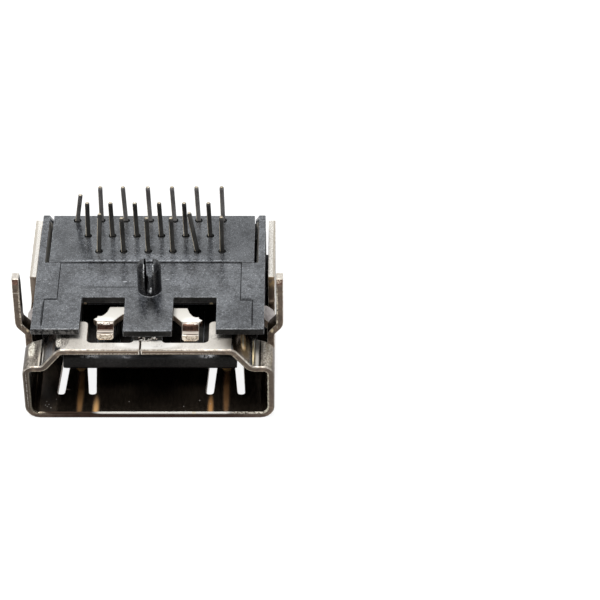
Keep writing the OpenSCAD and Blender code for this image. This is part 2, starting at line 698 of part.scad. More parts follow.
// Rows: 0 in front, 1 in the middle, 2 at the back. Low contacts go back, back, middle,
// and high ones middle, front, front.
function tail_row(i) = is_low(i) ? [2, 2, 1][(i / 2) % 3] : [1, 0, 0][((i - 1) / 2) % 3];
function tail_step(i) = is_low(i) ? [0, 1, 1.5][(i / 2) % 3] + 2 * floor(i / 6)
    : [0.5, 1, 2][((i - 1) / 2) % 3] + 2 * floor((i - 1) / 6);
function tail_x(i) = tail_offset + (tail_step(i) - 3) * tail_pitch;
function tail_y(i) = front_row_y + tail_row(i) * row_pitch;
// Place of a tail in its row, counted from the left
function tail_place(i) = floor(tail_step(i) - [1, 0.5, 0][tail_row(i)]);
function tail_lean(i) = LEANS[tail_row(i)][tail_place(i)];

jog_low_z = 3.9;
jog_high_z = 4.5;
module contact(i) {
    x = contact_x(i);
    z = beam_z(i);
    tail = [tail_x(i), tail_y(i)];
    lean = tail_lean(i);
    half = contact_w / 2;
    color("#b8b4a8") from_lip() {
        across(x - half, x + half) polygon(folded(
            [[contact_front_y, z], [tail.y, z], [tail.y, jog_low_z]], [0.3], contact_t));
        lengthwise(tail.y - contact_t / 2 - shank, tail.y + contact_t / 2 + shank) polygon([
            [x - half - shank, jog_low_z - lap], [x + half + shank, jog_low_z - lap],
            [x + half + shank, jog_low_z], [tail.x + half + shank, jog_high_z], [tail.x + half + shank, tail_mid_z],
            [tail.x - half - shank, tail_mid_z], [tail.x - half - shank, jog_high_z], [x - half - shank, jog_low_z]]);
        translate([tail.x, tail.y, tail_mid_z]) rotate([-lean.y, lean.x, 0]) tail_end();
    }
}
// Free end of a tail, with a point coined on all four sides
tail_point = 0.14;
tail_root = 0.03;
module tail_end() {
    half = contact_w / 2;
    intersection() {
        lengthwise(-contact_t / 2, contact_t / 2) polygon([
            [-half, -tail_root], [half, -tail_root], [half, tail_l - tail_point], [half - 0.06, tail_l],
            [0.06 - half, tail_l], [-half, tail_l - tail_point]]);
        across(-half, half) polygon([
            [-contact_t / 2, -tail_root], [contact_t / 2, -tail_root], [contact_t / 2, tail_l - tail_point],
            [contact_t / 2 - 0.05, tail_l], [0.05 - contact_t / 2, tail_l], [-contact_t / 2, tail_l - tail_point]]);
    }
}

shell();
insulator();
tail_plate();
for (i = [0:contact_count - 1]) contact(i);
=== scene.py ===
"""Looks of a right-angle board socket with nineteen contacts.

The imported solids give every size. This script copies each of them, breaks its edges, adds
the small forms that forming and moulding leave behind, and dresses it with its finish.
"""

import json
import logging
import math
import random
from collections.abc import Callable
from dataclasses import dataclass, replace
from enum import Enum

import bmesh
import bpy
from bmesh.types import BMEdge, BMFace, BMesh
from bpy.types import Material, Node, NodeSocket, NodeTree, Object
from mathutils import Matrix, Vector

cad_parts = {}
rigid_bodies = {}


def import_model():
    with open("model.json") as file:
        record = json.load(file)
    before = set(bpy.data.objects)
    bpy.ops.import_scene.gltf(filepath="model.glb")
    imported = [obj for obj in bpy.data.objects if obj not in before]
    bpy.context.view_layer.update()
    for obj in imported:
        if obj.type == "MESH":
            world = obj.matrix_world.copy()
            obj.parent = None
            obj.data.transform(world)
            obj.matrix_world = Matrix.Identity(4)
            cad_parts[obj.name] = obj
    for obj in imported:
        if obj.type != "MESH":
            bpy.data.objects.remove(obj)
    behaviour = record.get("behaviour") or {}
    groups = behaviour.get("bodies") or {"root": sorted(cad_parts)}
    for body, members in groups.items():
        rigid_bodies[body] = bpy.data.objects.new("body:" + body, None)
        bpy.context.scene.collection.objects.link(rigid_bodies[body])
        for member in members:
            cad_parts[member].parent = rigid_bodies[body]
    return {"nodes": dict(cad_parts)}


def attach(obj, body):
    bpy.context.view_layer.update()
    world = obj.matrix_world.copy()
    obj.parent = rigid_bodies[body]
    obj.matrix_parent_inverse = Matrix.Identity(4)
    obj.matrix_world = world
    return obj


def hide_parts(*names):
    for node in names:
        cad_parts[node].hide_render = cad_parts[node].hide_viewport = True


for left_over in list(bpy.data.objects):
    bpy.data.objects.remove(left_over)
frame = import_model()

LOG = logging.getLogger("socket")
Colour = tuple[float, float, float]
Point = tuple[float, float, float]
Span = tuple[float, float]

# A millimetre in metres
MM = 0.001

# Planes of the part in millimetres: the lip's front, the collar's flat top and the board face
LIP_Y = -6.3
BAND_Z = 5.41
BOARD_Z = 6.24

# How meshes are cleaned: distances in millimetres and angles in degrees
MERGE = 0.0005
FLAT = 0.6
CREASE = 50.0


class Skin(Enum):
    """What a stretch of sheet went through when the shell was made, or which painted shade or light it
    gets.
    """

    FACE = 0
    CUT = 1
    EDGE = 2
    STEEP_BEND = 3
    TIP = 4
    INSIDE = 5
    DRAWN = 6
    SHOULDER = 7
    CHAMFER = 8
    PRESSED = 9
    SHADED = 10
    TAB = 11
    FINGER = 12


class MouldSkin(Enum):
    """Parts of the housing's surface."""

    TOP = 0
    PEG = 1
    PLASTIC_EDGE_SHINE = 2
    SIDE = 3
    GROOVE = 4


class PlateSkin(Enum):
    """Parts of the tail plate's surface."""

    TOP = 0
    PLASTIC_EDGE_SHINE = 1
    GROOVE = 2


class PinSkin(Enum):
    """Parts of a contact's surface."""

    BODY = 0
    TIP = 1
    NECK = 2
    EDGE = 3


# Materials


def scaled(values: Point, factor: float) -> Point:
    """Three values times a factor."""
    return tuple(value * factor for value in values)


class Wiring:
    """Adds nodes to a node tree and joins them."""

    def __init__(self, tree: NodeTree) -> None:
        """Empties the tree and keeps it."""
        self.tree = tree
        tree.nodes.clear()

    def add(self, kind: str, **inputs: object) -> Node:
        """Adds a node and fills its inputs.

        Args:
            kind: The node's class without its ShaderNode prefix.
            inputs: Socket names with underscores for spaces, each with a value or an output.

        Returns:
            The new node.
        """
        node = self.tree.nodes.new("ShaderNode" + kind)
        for name, value in inputs.items():
            self.join(node.inputs[name.replace("_", " ")], value)
        return node

    def join(self, socket: NodeSocket, value: object) -> None:
        """Links an output to a socket, or sets the socket's value.

        Args:
            socket: The socket.
            value: An output, a number, a colour or a point.
        """
        if isinstance(value, NodeSocket):
            self.tree.links.new(value, socket)
        elif isinstance(value, tuple) and len(value) == 3 and socket.type == "RGBA":
            socket.default_value = (*value, 1.0)
        else:
            socket.default_value = value

    def step(self, kind: str, operation: str, *values: object) -> Node:
        """Adds a node for one step of arithmetic.

        Args:
            kind: Math for numbers or VectorMath for vectors.
            operation: What the node does.
            values: The value or output for each input.

        Returns:
            The new node.
        """
        node = self.add(kind)
        node.operation = operation
        for socket, value in zip(node.inputs, values):
            self.join(socket, value)
        return node

    def maths(self, operation: str, *values: object) -> NodeSocket:
        """The result of one step of arithmetic on numbers."""
        return self.step("Math", operation, *values).outputs[0]

    def weigh(self, first: object, second: object, share: float) -> NodeSocket:
        """The weighted sum of two numbers, where the share is the first one's."""
        rest = self.maths("MULTIPLY", second, 1.0 - share)
        return self.maths("ADD", self.maths("MULTIPLY", first, share), rest)

    def ramp(self, value: object, low: float, high: float, to_low: float = 0.0,
             to_high: float = 1.0) -> NodeSocket:
        """Maps a value smoothly from one span to another.

        Args:
            value: The value or output to map.
            low: Where its span starts.
            high: Where its span ends.
            to_low: The result where it starts.
            to_high: The result where it ends.

        Returns:
            The mapped value.
        """
        node = self.add("MapRange", Value=value, From_Min=low, From_Max=high, To_Min=to_low, To_Max=to_high)
        node.interpolation_type = "SMOOTHSTEP"
        return node.outputs["Result"]

    def blend(self, share: object, first: object, second: object) -> NodeSocket:
        """Blends two colours.

        Args:
            share: The second colour's share.
            first: The colour where the share is 0.
            second: The colour where the share is 1.

        Returns:
            The blended colour.
        """
        node = self.add("Mix")
        node.data_type = "RGBA"
        for index, value in ((0, share), (6, first), (7, second)):
            self.join(node.inputs[index], value)
        return node.outputs[2]

    def place(self, stretch: Point = (1.0, 1.0, 1.0), shift: Point = (0.0, 0.0, 0.0),
              turn: float = 0.0) -> NodeSocket:
        """Gives object coordinates in millimetres.

        Args:
            stretch: A factor for each axis.
            shift: What is added after that.
            turn: A turn about Z before it.

        Returns:
            The coordinates.
        """
        where = self.add("TexCoord").outputs["Object"]
        if turn:
            where = self.add("Mapping", Vector=where, Rotation=(0.0, 0.0, turn)).outputs[0]
        return self.add("Mapping", Vector=where, Location=shift, Scale=scaled(stretch, 1.0 / MM)).outputs[0]

    def noise(self, where: object, size: float, detail: float = 3.0, rough: float = 0.55) -> NodeSocket:
        """Cloudy noise with blotches of about that size in millimetres."""
        node = self.add("TexNoise", Vector=where, Scale=1.0 / size, Detail=detail, Roughness=rough)
        return node.outputs[0]

    def grains(self, where: object, size: float) -> NodeSocket:
        """Distance to the nearest grain, for grains of about that size in millimetres."""
        return self.add("TexVoronoi", Vector=where, Scale=1.0 / size, Randomness=1.0).outputs["Distance"]

    def edge_mask(self, radius: float) -> NodeSocket:
        """Finds sharp corners.

        Args:
            radius: How far a corner reaches, in millimetres.

        Returns:
            1 along corners and 0 on open faces.
        """
        bevel = self.add("Bevel", Radius=radius * MM)
        bevel.samples = 4
        normal = self.add("NewGeometry").outputs["Normal"]
        fold = self.step("VectorMath", "DOT_PRODUCT", bevel.outputs[0], normal)
        open_face, corner = 0.995, 0.8
        return self.ramp(fold.outputs["Value"], open_face, corner)


def new_material(name: str) -> tuple[Material, Wiring]:
    """Adds an empty node material.

    Args:
        name: Its name.

    Returns:
        The material and the wiring of its nodes.
    """
    material = bpy.data.materials.new(name)
    material.use_nodes = True
    return material, Wiring(material.node_tree)


@dataclass(frozen=True)
class Mark:
    """A soft-edged spot or streak of another colour at a place on the part.

    It lies around a point and reaches so far along each axis, in millimetres. The share is how much
    it covers, the core how much of its reach it fills evenly, and the grain the size of the flecks
    that it breaks up into. A matt mark takes away metal and gloss.
    """

    at: Point
    reach: Point
    colour: Colour
    share: float = 0.8
    core: float = 0.45
    grain: float = 0.0
    matt: bool = False

    def mask(self, w: Wiring) -> NodeSocket:
        """Works out how much the mark covers at each point.

        Args:
            w: The material's nodes.

        Returns:
            The share that it covers.
        """
        offset = w.step("VectorMath", "SUBTRACT", w.place(), self.at).outputs["Vector"]
        offset = w.step("VectorMath", "DIVIDE", offset, self.reach).outputs["Vector"]
        distance = w.step("VectorMath", "LENGTH", offset).outputs["Value"]
        share = w.ramp(distance, 1.0, self.core, 0.0, self.share)
        if self.grain > 0.0:
            share = w.maths("MULTIPLY", share, w.ramp(w.noise(w.place(), self.grain, 2.0, 0.7), 0.42, 0.56))
        return share


def matt(*values: object) -> Mark:
    """A mark that takes away metal and gloss."""
    return Mark(*values, matt=True)


def both(kind: Callable[..., Mark], at: Point, *rest: object) -> tuple[Mark, ...]:
    """The same mark on the left and on the right side of the part."""
    return tuple(kind((side * at[0], *at[1:]), *rest) for side in (-1.0, 1.0))


@dataclass(frozen=True)
class Finish:
    """A surface that is mottled between two colours and carries marks."""

    name: str
    light: Colour
    dark: Colour
    rough: Span
    bump: float = 0.25
    marks: tuple[Mark, ...] = ()

    def marked(self, *marks: Mark) -> "Finish":
        """The same finish with marks on it."""
        return replace(self, marks=marks)

    def lay_marks(self, w: Wiring, colour: object, *levels: object) -> tuple[object, ...]:
        """Lays the marks over a colour, and lowers levels where a mark is matt.

        Args:
            w: The material's nodes.
            colour: The colour under the marks.
            levels: The metal, gloss or sheen under them.

        Returns:
            The colour and the levels.
        """
        for mark in self.marks:
            share = mark.mask(w)
            colour = w.blend(share, colour, mark.colour)
            if mark.matt:
                left = w.maths("SUBTRACT", 1.0, share)
                levels = tuple(w.maths("MULTIPLY", level, left) for level in levels)
        return colour, *levels


@dataclass(frozen=True)
class MetalFinish(Finish):
    """A metal surface: plated, sheared, burnished or worn, with painted glints and pale edges that are
    partly wear and partly painted highlight.
    """

    metallic: float = 1.0
    gloss: float = 0.5
    blotch: float = 0.6
    grain: float = 0.06
    stretch: Point = (1.0, 1.0, 1.0)
    sparkle: float = 0.0
    glint: Colour = (0.9, 0.86, 0.8)
    wear: float = 0.0
    corner: float = 0.05
    fleck: float = 0.0
    pit: float = 0.075

    def make(self) -> Material:
        """Builds the node material.

        Returns:
            The material.
        """
        material, w = new_material(self.name)
        where = w.place(self.stretch)
        fine = w.noise(where, self.grain, 2.0, 0.6)
        share = w.weigh(w.noise(where, self.blotch, 4.0), fine, 0.65)
        colour = w.blend(w.ramp(share, 0.36, 0.64), self.dark, self.light)
        roughness = w.ramp(fine, 0.3, 0.7, *self.rough)
        if self.fleck > 0.0:
            spots = w.noise(w.place(shift=(5.0, 2.0, 9.0)), self.pit, 1.0, 0.5)
            colour = w.blend(w.ramp(spots, 0.46, 0.3, 0.0, self.fleck), colour, scaled(self.dark, 0.45))
        # Painted glints: light specks in the glint colour, in clouds.
        if self.sparkle > 0.0:
            spots = w.ramp(w.grains(w.place(), self.grain), 0.16 + self.sparkle, self.sparkle)
            cloud = w.ramp(w.noise(w.place(), self.blotch * 0.4), 0.45, 0.6)
            colour = w.blend(w.maths("MULTIPLY", spots, cloud), colour, self.glint)
        # Pale edges in the glint colour: partly wear, partly painted highlight.
        if self.wear > 0.0:
            worn_and_lit_edge = w.maths("MULTIPLY", w.edge_mask(self.corner), w.ramp(fine, 0.35, 0.6, 0.3, self.wear))
            colour = w.blend(worn_and_lit_edge, colour, self.glint)
        colour, metallic, gloss = self.lay_marks(w, colour, self.metallic, self.gloss)
        bump = w.add("Bump", Strength=self.bump, Distance=0.01 * MM, Height=fine)
        shader = w.add("BsdfPrincipled", Base_Color=colour, Metallic=metallic, Roughness=roughness,
                       Specular_IOR_Level=gloss, Normal=bump.outputs[0])
        w.add("OutputMaterial", Surface=shader.outputs[0])
        return material


@dataclass(frozen=True)
class PlasticFinish(Finish):
    """A glass-filled black plastic with a mottled skin, painted glints off its fibres and painted
    highlights along its corners.
    """

    specular: float = 0.7
    least_sheen: float = 0.7
    ior: float = 1.5
    blotch: float = 1.1
    mottle: float = 0.2
    grit: float = 0.6
    grit_size: float = 0.075
    speck: float = 0.085
    speck_share: float = 0.5
    speck_colour: Colour = (0.62, 0.64, 0.68)
    corner: float = 0.06

    def make(self) -> Material:
        """Builds the node material.

        Returns:
            The material.
        """
        material, w = new_material(self.name)
        where = w.place()
        mottle = w.noise(w.place(shift=(3.1, 7.7, 1.3)), self.mottle, 3.0, 0.65)
        share = w.weigh(w.noise(where, self.blotch, 5.0, 0.6), mottle, 0.5)
        colour = w.blend(w.ramp(share, 0.4, 0.62), self.dark, self.light)
        grit = w.noise(w.place(shift=(9.3, 1.7, 4.1)), self.grit_size, 2.0, 0.7)
        colour = w.blend(w.ramp(grit, 0.52, 0.64, 0.0, self.grit), colour, scaled(self.light, 2.4))
        colour = w.blend(w.ramp(grit, 0.48, 0.36, 0.0, self.grit), colour, scaled(self.dark, 0.4))
        # Painted glints: light specks along two slants, standing in for light off the glass fibres.
        glint: object = 0.0
        for turn, shift in ((0.6, 0.0), (-0.8, 5.3)):
            fibre_glint = w.grains(w.place((1.0, 0.3, 1.0), (shift,) * 3, turn), self.speck)
            glint = w.maths("MAXIMUM", glint, w.ramp(fibre_glint, 0.2, 0.05))
        glint = w.maths("MULTIPLY", glint, w.ramp(share, 0.44, 0.58, 0.1, self.speck_share))
        colour = w.blend(glint, colour, self.speck_colour)
        least = self.specular * self.least_sheen
        sheen = w.ramp(w.weigh(share, grit, 0.6), 0.42, 0.58, least, self.specular)
        colour, sheen = self.lay_marks(w, colour, sheen)
        # Painted highlight: corners are lightened.
        edge = w.maths("MULTIPLY", w.edge_mask(self.corner), w.ramp(mottle, 0.35, 0.6, 0.1, 0.6))
        colour = w.blend(edge, colour, tuple(min(1.0, level * 2.0 + 0.02) for level in self.light))
        roughness = w.ramp(mottle, 0.35, 0.65, *self.rough)
        bump = w.add("Bump", Strength=self.bump, Distance=0.012 * MM, Height=w.noise(where, 0.06, 2.0, 0.6))
        shader = w.add("BsdfPrincipled", Base_Color=colour, Roughness=roughness, IOR=self.ior,
                       Specular_IOR_Level=sheen, Normal=bump.outputs[0])
        w.add("OutputMaterial", Surface=shader.outputs[0])
        return material


# Colours that several marks share: WHITE paints light, GAP paints shade in gaps, DEEP paints shade in
# hollows and draws a fine line, SLATE paints sheen and SILVER draws scratches
WHITE = (1.0, 0.98, 0.94)
GAP = (0.002, 0.002, 0.002)
DEEP = (0.003, 0.003, 0.003)
SLATE = (0.16, 0.17, 0.19)
SILVER = (0.5, 0.52, 0.56)

NICKEL = MetalFinish(
    "nickel_sheet", light=(0.74, 0.705, 0.65), dark=(0.62, 0.58, 0.525), rough=(0.42, 0.55), metallic=0.3,
    blotch=0.8, grain=0.07, stretch=(1.0, 0.5, 1.0), bump=0.08, sparkle=0.05, wear=0.25,
    fleck=0.35).marked(
    # Painted light: the band under the nose is painted white where the nose shades it.
    Mark((0.0, -5.75, BAND_Z), (2.2, 0.55, 0.2), WHITE, 1.0, 0.6),
    # Painted shade with flecks: the band is darkened under the left foot's front edge.
    Mark((-5.1, -5.3, 5.4), (0.55, 1.0, 0.4), (0.12, 0.105, 0.09), 0.95, 0.7, 0.06),
    # Painted shade: the band darkens gradually towards its right-hand bend.
    Mark((5.25, -5.6, 5.4), (1.25, 1.2, 0.4), (0.1, 0.085, 0.07), 1.0, 0.25),
    Mark((3.9, -5.7, 5.4), (1.3, 0.7, 0.3), (0.5, 0.47, 0.42), 0.5, 0.1),
    Mark((0.6, -5.9, BAND_Z), (0.5, 0.3, 0.2), (0.45, 0.42, 0.38), 0.5, 0.3, 0.08),
    # Painted light: the springs' arms are painted pale and matt where the housing shades them, and their
    # pads near white.
    *both(matt, (2.3, -2.9, BAND_Z), (1.6, 1.5, 0.2), (0.8, 0.78, 0.73), 1.0, 0.75),
    *both(matt, (2.6, -3.6, BAND_Z), (0.9, 0.45, 0.2), (1.0, 0.99, 0.96), 1.0, 0.2),
    # Painted shade over the side walls' lower step, whose edge would otherwise catch the light.
    *both(matt, (7.3, 0.62, 3.28), (0.6, 0.2, 0.14), (0.1, 0.075, 0.055), 1.0, 0.8),
    # Painted light: the side walls' tops are painted matt white, as bright as lit plating.
    matt((7.26, 3.4, 5.15), (0.4, 4.5, 0.2), WHITE, 0.9, 0.8, 0.09),
    matt((-7.26, 3.4, 5.15), (0.4, 4.5, 0.2), WHITE, 1.0, 0.8),
    Mark((7.26, 3.4, 5.15), (0.3, 4.5, 0.2), (0.42, 0.39, 0.34), 0.6, 0.8, 0.05),
    Mark((-7.26, 3.4, 5.15), (0.25, 4.5, 0.2), (0.36, 0.33, 0.28), 0.6, 0.8, 0.05),
    Mark((7.44, 3.4, 5.15), (0.13, 6.0, 0.2), (0.36, 0.32, 0.26), 0.85),
    Mark((-7.4, 3.4, 5.15), (0.14, 6.0, 0.2), (0.5, 0.46, 0.4), 0.8, 0.5),
    # Painted shade with flecks: the band is darkened under the right foot's front edge.
    Mark((4.4, -5.1, 5.4), (0.9, 0.5, 0.3), (0.3, 0.28, 0.25), 0.7, grain=0.1),
    Mark((7.79, -3.2, 8.5), (0.5, 1.0, 0.2), (0.5, 0.44, 0.37), grain=0.1),
    Mark((-7.79, -3.2, 8.5), (0.5, 1.0, 0.2), (0.5, 0.45, 0.4), grain=0.1),
)
# Painted light: the springs are near-white matt sheet so that the arms, shaded by the housing, read as
# bright as lit plating.
FINGER = MetalFinish(
    "finger_sheet_painted_light", light=(1.0, 0.99, 0.95), dark=(0.97, 0.94, 0.89), rough=(0.42, 0.55), metallic=0.0,
    blotch=0.5, grain=0.07, bump=0.1, sparkle=0.05, wear=0.5, glint=(1.0, 0.97, 0.9)).marked(
    # Painted dark reflections: a greyer band and thin dark and brown lines across each spring's bends.
    *both(Mark, (2.6, -4.2, 5.0), (0.9, 0.3, 0.1), (0.6, 0.53, 0.45), 0.85, 0.9),
    *(Mark((x, y, 5.0), (0.7, reach, 0.1), (0.06, 0.035, 0.025), 0.95, 0.8)
      for x, y, reach in (
          (-2.6, -4.04, 0.035), (-2.6, -4.25, 0.055), (2.6, -4.16, 0.04), (2.6, -4.39, 0.05))),
    *(Mark((x, y, 5.0), (0.4, 0.08, 0.1), (0.3, 0.23, 0.17), 0.85, 0.8)
      for x, y in ((-2.56, -4.36), (2.56, -4.49))),
)
# Painted highlights and painted shade: light and dark lines along the shoulders and the slopes' feet.
SHOULDER_LIGHT_AND_SHADE_LINES = (
    matt((-6.48, -5.1, 4.1), (0.075, 1.9, 0.3), (0.72, 0.66, 0.57), 1.0, 0.5),
    matt((-6.42, -4.7, 4.1), (0.16, 0.4, 0.3), (0.9, 0.84, 0.74), 1.0, 0.5),
    matt((-6.375, -5.2, 4.15), (0.05, 1.6, 0.3), (0.03, 0.022, 0.018), 1.0, 0.7),
    Mark((-6.65, -5.3, 4.1), (0.07, 1.5, 0.3), (0.08, 0.06, 0.05), 0.9, grain=0.4),
    matt((-6.27, -5.4, 4.25), (0.05, 1.2, 0.3), (0.8, 0.76, 0.7), 0.9, 0.5),
    Mark((-6.15, -5.3, 4.35), (0.06, 1.3, 0.3), (0.07, 0.06, 0.055), 0.9, 0.5),
    matt((6.22, -5.0, 4.2), (0.075, 1.5, 0.3), (1.0, 0.82, 0.5), 1.0, 0.6),
    matt((6.33, -5.0, 4.2), (0.05, 1.5, 0.3), (0.16, 0.12, 0.07), 0.9, 0.6),
    matt((6.45, -5.3, 4.1), (0.11, 2.0, 0.25), (0.5, 0.48, 0.45), 0.95, 0.6),
    matt((6.63, -5.3, 4.1), (0.07, 2.0, 0.3), (0.008, 0.007, 0.006), 1.0, 0.6),
)
# Painted dark reflection: the slopes are a dark copy of the nickel plating, and their marks paint
# highlights, warm streaks and darker patches of shade.
DRAWN = MetalFinish(
    "drawn_slope_painted_reflections", light=(0.15, 0.147, 0.147), dark=(0.1, 0.097, 0.097), rough=(0.2, 0.3),
    blotch=0.6, stretch=(1.0, 0.12, 1.0), bump=0.05).marked(
    matt((-5.2, -5.1, 5.35), (0.34, 1.0, 0.25), (0.16, 0.14, 0.12), 1.0, 0.8),
    matt((-5.2, -5.1, 5.35), (0.34, 1.0, 0.25), (1.0, 0.96, 0.88), 1.0, 0.8, 0.055),
    Mark((-5.85, -5.45, 4.75), (0.26, 0.7, 0.4), (0.15, 0.155, 0.175), 0.8, 0.75),
    matt((-5.85, -5.0, 4.75), (0.5, 1.7, 0.6), (0.07, 0.069, 0.072), 0.7, 0.5),
    Mark((-5.6, -4.3, 4.85), (0.6, 0.75, 0.6), (0.08, 0.05, 0.035), 0.9, 0.5),
    Mark((-5.52, -5.5, 5.05), (0.12, 1.5, 0.2), (0.16, 0.12, 0.1)),
    Mark((5.6, -5.0, 4.9), (0.8, 3.0, 0.8), (0.075, 0.047, 0.025), 0.92, 0.95),
    matt((5.78, -5.6, 4.7), (0.5, 0.75, 0.7), (0.15, 0.105, 0.055), 0.95, 0.4),
    matt((5.98, -4.8, 4.6), (0.2, 0.8, 0.5), (0.4, 0.33, 0.22), 0.9, 0.4),
    matt((5.67, -4.8, 4.85), (0.24, 0.9, 0.5), (0.8, 0.56, 0.3), 1.0, 0.6),
    matt((5.62, -4.8, 4.85), (0.08, 0.85, 0.5), (1.0, 0.9, 0.7), 0.9, 0.4),
    matt((5.78, -4.7, 4.85), (0.05, 0.7, 0.5), (0.2, 0.13, 0.06), 0.8, 0.4),
    *SHOULDER_LIGHT_AND_SHADE_LINES,
)
# Painted shade: the shoulders are a darker copy of the nickel plating; the light flecked stripes on them
# are painted highlights, and the dark marks over their outer bends painted shade.
SHOULDER = MetalFinish(
    "shoulder_painted_shade", light=(0.46, 0.41, 0.35), dark=(0.16, 0.138, 0.115), rough=(0.38, 0.5),
    metallic=0.6, blotch=0.16, sparkle=0.14, glint=(0.9, 0.86, 0.76), fleck=0.5).marked(
    matt((-6.98, -4.8, 4.1), (0.26, 0.9, 0.4), (0.7, 0.63, 0.53), 0.9, 0.3),
    matt((-6.99, -4.7, 4.1), (0.24, 0.75, 0.4), (1.0, 0.97, 0.86), 1.0, 0.75, 0.12),
    Mark((-7.44, -4.8, 3.75), (0.26, 2.4, 0.6), (0.13, 0.11, 0.095), 0.9, 0.6),
    Mark((7.46, -4.8, 3.75), (0.27, 2.4, 0.6), (0.15, 0.12, 0.1), 0.9, 0.6),
    Mark((7.2, -4.8, 4.0), (0.3, 1.8, 0.4), (0.55, 0.45, 0.32), 0.7, 0.6, 0.07),
    Mark((6.98, -4.8, 4.1), (0.34, 2.4, 0.5), (0.13, 0.11, 0.085), 0.85, 0.8, 0.08),
    Mark((7.05, -4.8, 4.1), (0.3, 2.4, 0.5), (0.85, 0.79, 0.68), 0.5, 0.7, 0.09),
    *SHOULDER_LIGHT_AND_SHADE_LINES,
)
# Painted shade: the inside of the mouth is a dark copy of the plating. The warm streaks on its walls are
# painted reflections, the left wall and floor get more painted shade, and pale specks lie on the floor.
INSIDE = MetalFinish(
    "inner_sheet_painted_shade", light=(0.19, 0.148, 0.112), dark=(0.1, 0.078, 0.06), rough=(0.18, 0.24), metallic=0.93,
    blotch=1.8, grain=0.2, stretch=(1.0, 0.4, 1.0), bump=0.02).marked(
    matt((-4.26, -4.5, 0.5), (0.29, 3.4, 0.7), (1.0, 0.5, 0.17), 0.5, 0.3),
    matt((-4.33, -2.6, 0.7), (0.34, 0.3, 0.6), (1.0, 0.62, 0.28), 1.0, 0.6),
    matt((-3.27, -5.85, 0.5), (0.3, 1.5, 0.5), (1.0, 0.58, 0.24), 0.85, 0.2),
    matt((4.55, -4.4, 0.5), (0.29, 3.4, 0.7), (1.0, 0.46, 0.14), 0.42, 0.3),
    matt((4.54, -2.6, 0.7), (0.36, 0.3, 0.6), (1.0, 0.58, 0.24), 1.0, 0.6),
    matt((3.62, -5.8, 0.5), (0.27, 1.6, 0.5), (1.0, 0.5, 0.17), 0.7, 0.2),
    Mark((-6.9, -5.0, 1.9), (1.1, 4.0, 1.7), (0.07, 0.055, 0.043), 0.75, 0.3),
    matt((-6.15, -4.6, 0.42), (0.7, 3.6, 0.4), (0.012, 0.011, 0.011), 0.7, 0.4),
    *(matt((x, y, 0.42), (0.05, 0.06, 0.1), (0.5, 0.49, 0.47), 0.7, 0.3)
      for x, y in (
          (-6.32, -5.62), (-6.2, -5.74), (-6.27, -5.3), (-5.98, -5.86), (-6.12, -5.56), (-5.7, -5.1),
          (2.95, -5.2), (2.0, -5.75), (3.6, -5.5), (-1.3, -5.3))),
)
SHADED = MetalFinish(
    "shaded_inner_leg", light=(0.09, 0.065, 0.045), dark=(0.03, 0.02, 0.014), rough=(0.25, 0.4),
    metallic=0.9, blotch=0.4, bump=0.1)
TAB = MetalFinish(
    "lanced_tab", light=(0.52, 0.475, 0.46), dark=(0.3, 0.265, 0.255), rough=(0.35, 0.5), metallic=0.4,
    blotch=0.5, bump=0.1, fleck=0.3, wear=0.8)
SHEARED = MetalFinish(
    "sheared_sheet", light=(0.3, 0.222, 0.162), dark=(0.115, 0.082, 0.06), rough=(0.4, 0.6), metallic=0.4,
    blotch=0.35, grain=0.05, bump=0.4, sparkle=0.06, glint=(0.75, 0.66, 0.56)).marked(
    # Painted shade: the lip darkens towards the bottom, by the floor.
    matt((0.0, LIP_Y, 0.05), (9.0, 0.5, 0.75), (0.07, 0.036, 0.028), 0.9, 0.5),
    Mark((-7.2, LIP_Y, 2.4), (0.5, 0.5, 2.4), (0.068, 0.048, 0.033), 0.85, 0.6),
    Mark((-5.9, LIP_Y, 4.4), (1.0, 0.5, 0.9), (0.09, 0.07, 0.055), 0.8, 0.6),
    Mark((5.9, LIP_Y, 4.4), (1.0, 0.5, 0.9), (0.12, 0.09, 0.065), 0.5, 0.6),
    # Painted highlight: a bright dotted line down the left lip.
    matt((-7.27, LIP_Y, 2.2), (0.03, 0.5, 1.7), (1.0, 0.95, 0.85), 0.95, 0.6, 0.1),
    Mark((7.3, LIP_Y, 3.0), (0.5, 0.5, 2.2), (0.1, 0.075, 0.056), 0.6, 0.6),
    Mark((-7.26, 0.75, 4.8), (0.4, 0.3, 1.3), (0.4, 0.33, 0.27), 0.6, 0.5),
    *both(Mark, (7.8, -3.58, 6.5), (0.6, 0.4, 3.0), (0.13, 0.1, 0.075), 0.4),
    # Painted highlights: thin bright lines on the legs' front faces.
    *both(Mark, (7.64, -3.58, 6.3), (0.07, 0.3, 1.9), (1.0, 0.9, 0.74), 0.9, 0.6, 0.1),
    # Painted highlights: small gold spots on the legs' fronts.
    Mark((-7.28, -3.58, 4.6), (0.1, 0.3, 0.2), (1.0, 0.84, 0.56), 1.0, 0.4),
    Mark((7.32, -3.58, 4.58), (0.12, 0.3, 0.22), (1.0, 0.84, 0.56), 1.0, 0.5),
    Mark((-7.79, -3.58, 7.5), (0.3, 0.3, 0.04), (0.7, 0.64, 0.55), 0.8, 0.5),
    Mark((7.26, 0.75, 4.6), (0.4, 0.3, 0.8), (0.45, 0.3, 0.14), grain=0.25),
    Mark((7.26, 0.75, 3.9), (0.4, 0.3, 0.7), (0.07, 0.045, 0.03)),
    # Across the top lip: a brown band, a dark band and a bright flecked line, which is a painted highlight.
    Mark((0.0, LIP_Y, 5.33), (5.3, 0.3, 0.09), (0.46, 0.33, 0.22), 0.8, 0.6),
    Mark((0.0, LIP_Y, 5.22), (5.3, 0.3, 0.07), (0.13, 0.09, 0.065), 0.85, 0.5),
    Mark((0.0, LIP_Y, 5.12), (5.2, 0.3, 0.06), (0.8, 0.7, 0.56), 0.85, 0.6, 0.09),
)
